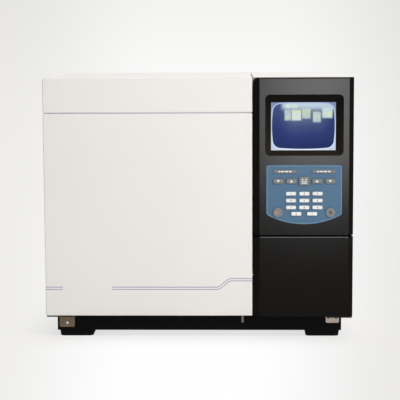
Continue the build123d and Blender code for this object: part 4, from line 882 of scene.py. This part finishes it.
# %% [markdown]
# Just inside the film's edge a paler line is painted where the edge catches the light: a painted
# highlight. The two raised bars carry a row of plain dashes where an instrument has its legends.
# The edge line follows the film's outline: straight sides, and a lower edge that is an arc about a
# centre above it.

# %% Lines on the keypad film
# painted highlight along the keypad film's edge
film_edge_highlight_ink = printed_ink("painted_film_edge_highlight", "#7A9DBA")
FILM_ARC = 150.0 * MM
EDGE_INSET = 1.5 * MM
film_x = box_middle("keypad_overlay")[0]
half_film = (overlay_high.x - overlay_low.x) / 2 - EDGE_INSET
arc_centre_z = overlay_low.z + FILM_ARC
arc_radius = FILM_ARC - EDGE_INSET
film_top = overlay_high.z - EDGE_INSET


def arc_z(across):
    """Height of the lower edge: the arc's centre less the root of radius squared less X squared."""
    return arc_centre_z - np.sqrt(arc_radius**2 - across**2)


curve_x = np.linspace(-half_film + 5 * MM, half_film - 5 * MM, 31)
low_corner = arc_z(half_film)
left_z = [film_top - 3 * MM, low_corner + 5 * MM, low_corner]
top_x = [half_film - 3 * MM, 3 * MM - half_film]
edge_x = np.concatenate([[-half_film] * 3, curve_x, [half_film] * 3, top_x])
edge_z = np.concatenate([left_z, arc_z(curve_x), left_z[::-1], [film_top, film_top]])
edge_path = np.stack([film_x + edge_x, np.full(len(edge_x), OVERLAY_FACE), edge_z], axis=1)
edge_line = carried(corner_cut(edge_path, True, 2), ribbon(0.8 * MM, INK), TO_FRONT, ring=True)
grid_piece("film_edge_highlight_line", [(edge_line, True)], film_edge_highlight_ink, "chassis")

BAR_OFFSET = 37.3 * MM
BAR_DROP = 12.4 * MM
# middle and length of each dash, in millimetres from the middle of its bar
DASHES = ((-10.5, 4.0), (-4.5, 5.0), (3.0, 6.5), (10.5, 5.0))
dashes = []
for side in (-1, 1):
    for place_x, length in DASHES:
        outline = np.array(bar(place_x, 0, length, 2.2)) * MM
        outline += np.array([film_x + side * BAR_OFFSET, overlay_high.z - BAR_DROP])
        dashes.append((slab(outline, overlay_low.y, overlay_low.y - INK), False))
grid_piece("bar_dashes", dashes, pale_ink, "chassis")
print("edge line", edge_line.shape, "dashes", len(dashes))

# %% [markdown]
# ## Screws
#
# Pan-head screws with a crossed recess hold the brackets, the rear panel and the gas panel. The
# head is a low dome. Its recess is where a point lies within the cross's half-width of either arm
# and inside the recess radius, and the surface drops there.

# %% Pan-head screws
screw_steel = worked_metal("screw_steel", "#B5B2AC", "#7E7B76", 0.35, (2 * MM, 2 * MM, 2 * MM))


def screw_head(centre, axis, radius):
    """A pan head standing along an axis from its seat at centre.

    Height is 0.5 radius times (1 minus 0.45 times the squared share of the radius), less
    0.35 radius inside the cross. The last row goes straight down to the seat.
    """
    share = np.array([0.0, 0.15, 0.3, 0.45, 0.56, 0.6, 0.8, 0.94, 1.0, 1.0])
    angle = np.linspace(0, 2 * np.pi, 32, endpoint=False)
    x, y = share[:, None] * np.cos(angle), share[:, None] * np.sin(angle)
    half_arm, reach, drop = 0.13, 0.58, 0.35
    recess = ((np.abs(x) < half_arm) | (np.abs(y) < half_arm)) & (share[:, None] < reach)
    height = 0.5 * (1 - 0.45 * share[:, None] ** 2) - drop * recess
    height[-1] = 0.0
    axis = np.array(axis, dtype=float)
    across = np.roll(axis, 1)
    up = np.cross(axis, across)
    local = x[..., None] * across + y[..., None] * up + height[..., None] * axis
    return np.array(centre) * MM + radius * MM * local


def screws(name, spots, axis, radius, body, material=None):
    """One piece with a screw at each spot, in millimetres."""
    heads = [(screw_head(spot, axis, radius), False) for spot in spots]
    grid_piece(name, heads, material or screw_steel, body)


front, rear, upward_axis = (0, -1, 0), (0, 1, 0), (0, 0, 1)
bracket_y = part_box("base_frame")[0].y / MM - 2.0
screws("bracket_screw", [(-261.0, bracket_y, 27.4)], front, 2.8, "chassis")
gas_spots = [(254.8, bracket_y, 38.6), (269.6, bracket_y, 38.6)]
screws("gas_bracket_screws", gas_spots, front, 2.2, "chassis", gloss_plastic)
# down both sides of the rear panel, along its lower edge, and beside the electronics bay
REAR_Y = 235.0
rear_spots = [(x, REAR_Y, z) for x in (-290, 290) for z in (60, 180, 300, 425)]
rear_spots += [(x, REAR_Y, 55) for x in (-200, -100, 0, 100, 200)]
rear_spots += [(97, REAR_Y, z) for z in (160, 290, 425)]
screws("rear_panel_screws", rear_spots, rear, 3.2, "chassis")
panel_low, panel_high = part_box("gas_panel")
PANEL_Y, PANEL_INSET = -226.0, 7
panel_xs = (panel_low.x / MM + PANEL_INSET, panel_high.x / MM - PANEL_INSET)
panel_zs = (panel_low.z / MM + PANEL_INSET, panel_high.z / MM - PANEL_INSET)
panel_spots = [(x, PANEL_Y, z) for x in panel_xs for z in panel_zs]
screws("gas_panel_screws", panel_spots, front, 2.6, "chassis")
print("screws:", 1 + len(gas_spots) + len(rear_spots) + len(panel_spots))

# %% [markdown]
# ## Heater
#
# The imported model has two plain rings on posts. The real heater is resistance wire wound into a
# long spring and threaded through ceramic. The wire's path goes round the ring at an angle t and
# round the ring's own rope at ninety times that angle, so the ring is a helix bent into a circle.
# The posts are turned ceramic with a groove for each ring.

# %% Wound heater
ring_x, _, ring_z = box_middle("heater_coil")
heater_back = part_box("heater_coil")[1].y
RING_RADIUS = 100.0 * MM
COIL_RADIUS = 3.3 * MM
WIRE_RADIUS = 0.55 * MM
TURNS = 90
RING_YS = (-42.0 * MM, -58.0 * MM)
t = np.linspace(0, 2 * np.pi, TURNS * 10, endpoint=False)
radial = np.stack([np.cos(t), np.zeros(len(t)), np.sin(t)], axis=1)
spin = np.cos(TURNS * t)[:, None] * radial + np.sin(TURNS * t)[:, None] * TO_FRONT
five = np.linspace(0, 2 * np.pi, 5, endpoint=False)
wire = WIRE_RADIUS * np.stack([np.cos(five), np.sin(five)], axis=1)
coils = []
for ring_y in RING_YS:
    centre = np.array([ring_x, ring_y, ring_z])
    path = centre + RING_RADIUS * radial + COIL_RADIUS * spin
    coils.append((carried(path, wire, spin, ring=True), True))
heater = grid_piece("wound_heater", coils, oxide_wire, "chassis")
ceramic = moulded_plastic("glazed_ceramic", "#DAD5C8", 0.4, grain=1.5 * MM)
THICK, THIN = 4.6, 3.2
# distances from the post's foot where it is thick, and where it narrows to a groove, in turn
groove_starts = [(THICK, 6.0), (THIN, 8.0), (THIN, 10.0), (THICK, 12.0)]
second_groove = [(radius, along + 16.0) for radius, along in groove_starts]
post_profile = [(0.0, 0.0), (THICK, 0.0), *groove_starts, *second_groove, (THICK, 32.0), (0.0, 32.0)]
post_profile = MM * np.array(post_profile)
posts = []
for quarter in range(4):
    lean = math.radians(45 + 90 * quarter)
    post_x, post_z = ring_x + RING_RADIUS * math.cos(lean), ring_z + RING_RADIUS * math.sin(lean)
    posts.append((turned(post_profile, (post_x, heater_back, post_z), front, 20), False))
grid_piece("heater_posts", posts, ceramic, "chassis")
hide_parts("heater_coil")
print("heater wire", round(TURNS * 2 * math.pi * COIL_RADIUS, 2), "m a ring")

# %% [markdown]
# ## Gauges, knobs and septum nuts
#
# Each gauge has a white dial under a clear lens. Its ticks span 270 degrees, clockwise from the
# lower left, and every second one has a plain number. The pointer rests at zero. The valve knobs
# have a white pointer line, which turns with the knob, and the septum nuts have a knurled band.

# %% Dials
dial_white = printed_ink("dial_enamel", "#F1F0EA", 0.35)
GAUGE_Z = 158.54 * MM
DIAL_Y = -238.5 * MM
TICKS = 11
# profiles as pairs of radius and height in millimetres
DIAL = ((0.0, 0.0), (17.2, 0.0), (17.2, 0.2), (0.0, 0.2))
LENS = ((0.0, 1.6), (17.2, 1.6), (17.2, 2.0), (9.0, 2.4), (0.0, 2.5))
HUB = ((0.0, 0.0), (1.8, 0.0), (1.8, 1.1), (0.0, 1.1))


def dial_point(middle_x, radius, fraction):
    """A place on the dial: the angle falls from 225 to -45 degrees as the fraction grows."""
    angle = math.radians(225.0 - 270.0 * fraction)
    return middle_x + radius * math.cos(angle), GAUGE_Z + radius * math.sin(angle)


def stroke(start, end, width_start, width_end):
    """A straight stroke between two points in X and Z, as an outline that may taper."""
    start, end = np.array(start), np.array(end)
    aside = unit(np.array([start[1] - end[1], end[0] - start[0]]))
    return [
        start - aside * width_start / 2,
        end - aside * width_end / 2,
        end + aside * width_end / 2,
        start + aside * width_start / 2,
    ]


faces_of_dials, lenses, marks, numbers = [], [], [], []
for knob in knobs:
    gauge_x = box_middle(knob)[0]
    dial_centre = (gauge_x, DIAL_Y, GAUGE_Z)
    faces_of_dials.append((turned(np.array(DIAL) * MM, dial_centre, front, 40), False))
    lenses.append((turned(np.array(LENS) * MM, dial_centre, front, 40), False))
    ink_y = DIAL_Y - 0.2 * MM
    for tick in range(TICKS):
        part = tick / (TICKS - 1)
        inner, outer = (dial_point(gauge_x, radius * MM, part) for radius in (13.4, 15.8))
        line = stroke(inner, outer, 0.5 * MM, 0.5 * MM)
        marks.append((slab(line, ink_y, ink_y - INK), False))
        if tick % 2 == 0:
            number_x, number_z = dial_point(gauge_x, 10.4 * MM, part)
            numbers.append((str(tick), 2.4 * MM, (number_x, ink_y - INK / 2, number_z)))
    back_end, tip = (dial_point(gauge_x, radius * MM, 0.0) for radius in (-4.0, 13.0))
    pointer = stroke(back_end, tip, 1.6 * MM, 0.3 * MM)
    marks.append((slab(pointer, ink_y - 0.7 * MM, ink_y - 1.0 * MM), False))
    marks.append((turned(np.array(HUB) * MM, (gauge_x, ink_y, GAUGE_Z), front, 16), False))
grid_piece("gauge_dials", faces_of_dials, dial_white, "chassis")
grid_piece("gauge_marks", marks, dark_ink, "chassis")
figures("gauge_numbers", numbers, dark_ink, "chassis")
grid_piece("gauge_lenses", lenses, acrylic, "chassis")
print("gauges:", len(lenses), "ticks each:", TICKS)

# %% Knob pointers and knurled bands
for knob in knobs:
    knob_x, knob_front, knob_z = front_middle(knob)
    ends = [(knob_x, knob_z + along * MM) for along in (2.5, 9.5)]
    printed = slab(stroke(*ends, 1.4 * MM, 1.4 * MM), knob_front, knob_front - INK)
    grid_piece(f"pointer_{knob}", [(printed, False)], pale_ink, knob)

nut_low, nut_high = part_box("septum_nuts")
nut_radius = (nut_high.y - nut_low.y) / 2
inner_radius = nut_radius - 0.3 * MM
BAND_FROM, BAND_TO = 3 * MM, 11 * MM
band = [(inner_radius, BAND_FROM), (nut_radius, BAND_FROM)]
band += [(nut_radius, BAND_TO), (inner_radius, BAND_TO)]
bands = []
for nut_x in (nut_low.x + nut_radius, nut_high.x - nut_radius):
    base = (nut_x, (nut_low.y + nut_high.y) / 2, nut_low.z)
    bands.append((turned(np.array(band), base, upward_axis, 144, 0.35 * MM, 36), True))
grid_piece("knurled_bands", bands, stainless, "chassis")
print("knurled bands:", len(bands), "of radius", round(nut_radius / MM, 2), "mm")

# %% [markdown]
# ## Room, light and camera
#
# The instrument stands in a plain pale room. The floor rolls up into the back wall, so no line
# shows behind the object. Wherever the camera sees the sweep, most of what it sees is a glow,
# which keeps the sweep near white without putting more light on the instrument. A pool of light
# is painted into that glow: brightest in a strip that widens towards the wall, greyer up the wall
# and aside, and a little darker to the right. Near the instrument more of the lit paper shows,
# and with it the shadow. The camera stands almost straight in front and looks slightly down,
# through a long lens.

# %% Floor that rolls up into a wall


def sweep_profile(depth_steps, radius, start, wall, top):
    """Floor from start to wall, a quarter circle of that radius, then straight up to top."""
    floor = np.stack([np.linspace(start, wall - radius, depth_steps), np.zeros(depth_steps)])
    turn = np.linspace(0, np.pi / 2, 17)[1:]
    bend = np.stack([wall - radius + radius * np.sin(turn), radius * (1 - np.cos(turn))])
    rise = np.array([[wall], [top]])
    return np.concatenate([floor, bend, rise], axis=1)


profile = sweep_profile(depth_steps=5, radius=1.2, start=-9.0, wall=4.0, top=9.0)
columns = profile.shape[1]
HALF_SWEEP = 9.0
edge_rows = [
    np.stack([np.full(columns, side * HALF_SWEEP), profile[0], profile[1]], axis=1)
    for side in (-1, 1)
]
first = np.arange(columns - 1)
faces = np.stack([first, first + columns, first + columns + 1, first + 1], axis=1)
sweep_mesh = bpy.data.meshes.new("room_sweep")
sweep_mesh.from_pydata(np.concatenate(edge_rows).tolist(), [], faces.tolist())
sweep_mesh.shade_smooth()
sweep = bpy.data.objects.new("room_sweep", sweep_mesh)
bpy.context.scene.collection.objects.link(sweep)
print("points along the sweep:", columns)

# %% Paper of the sweep
# half width and half depth of the floor that lies under the instrument, and how far its shadow
# goes beyond them
UNDER_X, UNDER_Y, SHADOW_REACH = 0.27, 0.24, 0.12
# the painted pool of light on the floor widens away from a point this far in front of the instrument
PAINTED_POOL_FROM = 2.9


def seen_rays(tree):
    """The rays by which the camera sees a thing: straight, through glass or mirrored."""
    rays = add_node(tree, "ShaderNodeLightPath").outputs
    kinds = {"straight": "Camera", "through": "Transmission", "mirrored": "Glossy"}
    return {name: rays[f"Is {kind} Ray"] for name, kind in kinds.items()}


# 1 for a ray of any of the three kinds, and 0 for every other ray
SEEN_STEPS = [
    ("seen", "MAXIMUM", "straight", "through"),
    ("seen", "MAXIMUM", "seen", "mirrored"),
]
material, tree, known = new_material("pale_paper")
steps = SEEN_STEPS + [
    ("x", "X", "point"),
    ("y", "Y", "point"),
    ("z", "Z", "point"),
    # tone: a painted pool of light, brightest in the middle strip, greyer up the wall and aside, and a
    # little darker to the right
    ("far", "ADD", "y", PAINTED_POOL_FROM),
    ("painted_pool", "DIVIDE", "x", "far"),
    ("aside", "ABSOLUTE", "painted_pool"),
    ("sides", "SMOOTH", "aside", 0.04, 0.16),
    ("height", "SMOOTH", "z", 0.0, 1.2),
    ("middle", "BLEND", "height", "#FFFFFF", "#F0F0EE"),
    ("edges", "BLEND", "height", "#EFEEED", "#E5E4E3"),
    ("tone", "BLEND", "sides", "middle", "edges"),
    ("painted_dimming", "RANGE", "painted_pool", 0.04, 0.15, 1.0, 0.955),
    # share of the glow: less of it near the instrument, so that the shadow shows there
    ("off_x", "ABSOLUTE", "x"),
    ("off_y", "ABSOLUTE", "y"),
    ("beyond_x", "SUBTRACT", "off_x", UNDER_X),
    ("beyond_y", "SUBTRACT", "off_y", UNDER_Y),
    ("reach", "MAXIMUM", "beyond_x", "beyond_y"),
    ("open_floor", "SMOOTH", "reach", 0.0, SHADOW_REACH, 0.74, 0.975),
    ("share", "MULTIPLY", "seen", "open_floor"),
]
known = work_out(tree, steps, {**known, **seen_rays(tree)})
paper = add_node(tree, "ShaderNodeBsdfDiffuse", {"Color": linear("#F8F7F6")})
light = {"Color": known["tone"], "Strength": known["painted_dimming"]}
glow = add_node(tree, "ShaderNodeEmission", light)
mixed = {0: known["share"], 1: paper.outputs[0], 2: glow.outputs[0]}
close_tree(tree, add_node(tree, "ShaderNodeMixShader", mixed))
sweep_mesh.materials.append(material)
print("shadow shows up to", SHADOW_REACH, "m beyond the instrument")

# %% World and lamps
world = bpy.data.worlds.new("pale_room")
bpy.context.scene.world = world
world.use_nodes = True
tree = world.node_tree
tree.nodes.clear()
steps = SEEN_STEPS + [
    ("sky", "BLEND", "seen", "#F7F0E8", "#EEEDEB"),
    ("strength", "RANGE", "seen", 0.0, 1.0, 0.33, 1.0),
]
known = work_out(tree, steps, seen_rays(tree))
light = {"Color": known["sky"], "Strength": known["strength"]}
air = add_node(tree, "ShaderNodeBackground", light)
add_node(tree, "ShaderNodeOutputWorld", {"Surface": air.outputs[0]})

# name, place, target, width and height in metres, power in watts and colour
LAMPS = (
    ("key_lamp", (2.2, -2.2, 2.4), (0.0, -0.2, 0.3), (1.2, 1.2), 92.0, "#FEFEFF"),
    ("fill_lamp", (-2.2, -2.6, 0.9), (0.0, -0.2, 0.25), (1.8, 1.8), 1.0, "#FFDFC0"),
    ("ceiling_lamp", (0.2, 0.9, 3.0), (0.0, 0.4, 0.0), (2.5, 2.5), 33.0, "#FFFFFF"),
    ("horizon_card", (0.41, -3.3, 0.45), (0.41, 0.0, 0.45), (0.42, 0.9), 62.0, "#FFFFFF"),
)
for name, position, target, size, power, colour in LAMPS:
    lamp = bpy.data.lights.new(name, "AREA")
    lamp.shape = "RECTANGLE"
    lamp.size, lamp.size_y = size
    lamp.energy = power
    lamp.color = linear(colour)[:3]
    holder = bpy.data.objects.new(name, lamp)
    bpy.context.scene.collection.objects.link(holder)
    holder.location = position
    aim = Vector(target) - Vector(position)
    holder.rotation_euler = aim.to_track_quat("-Z", "Y").to_euler()
    if name == "horizon_card":
        # the card shows only in glossy surfaces, as a pale band on the console
        holder.visible_diffuse = False
        holder.visible_camera = False
print("lamps:", len(LAMPS))

# %% Camera
CAMERA_AT = (0.07565, -2.8587, 0.5716)
YAW, PITCH, ROLL = (math.radians(angle) for angle in (-1.584, 6.523, -0.278))
FOCAL_PIXELS = 1351.35
FRAME_PIXELS = 400
lens = bpy.data.cameras.new("camera")
lens.sensor_width = 36.0
lens.lens = FOCAL_PIXELS / FRAME_PIXELS * lens.sensor_width
camera = bpy.data.objects.new("camera", lens)
bpy.context.scene.collection.objects.link(camera)
forward = np.array(
    [math.sin(YAW) * math.cos(PITCH), math.cos(YAW) * math.cos(PITCH), -math.sin(PITCH)]
)
level = np.array([math.cos(YAW), -math.sin(YAW), 0.0])
upward = np.cross(level, forward)
side = level * math.cos(ROLL) + upward * math.sin(ROLL)
top = upward * math.cos(ROLL) - level * math.sin(ROLL)
turn = Matrix(np.stack([side, top, -forward], axis=1).tolist()).to_4x4()
camera.matrix_world = Matrix.Translation(CAMERA_AT) @ turn
bpy.context.scene.camera = camera
bpy.context.scene.view_settings.view_transform = "Standard"
print("lens", round(lens.lens, 2), "mm")
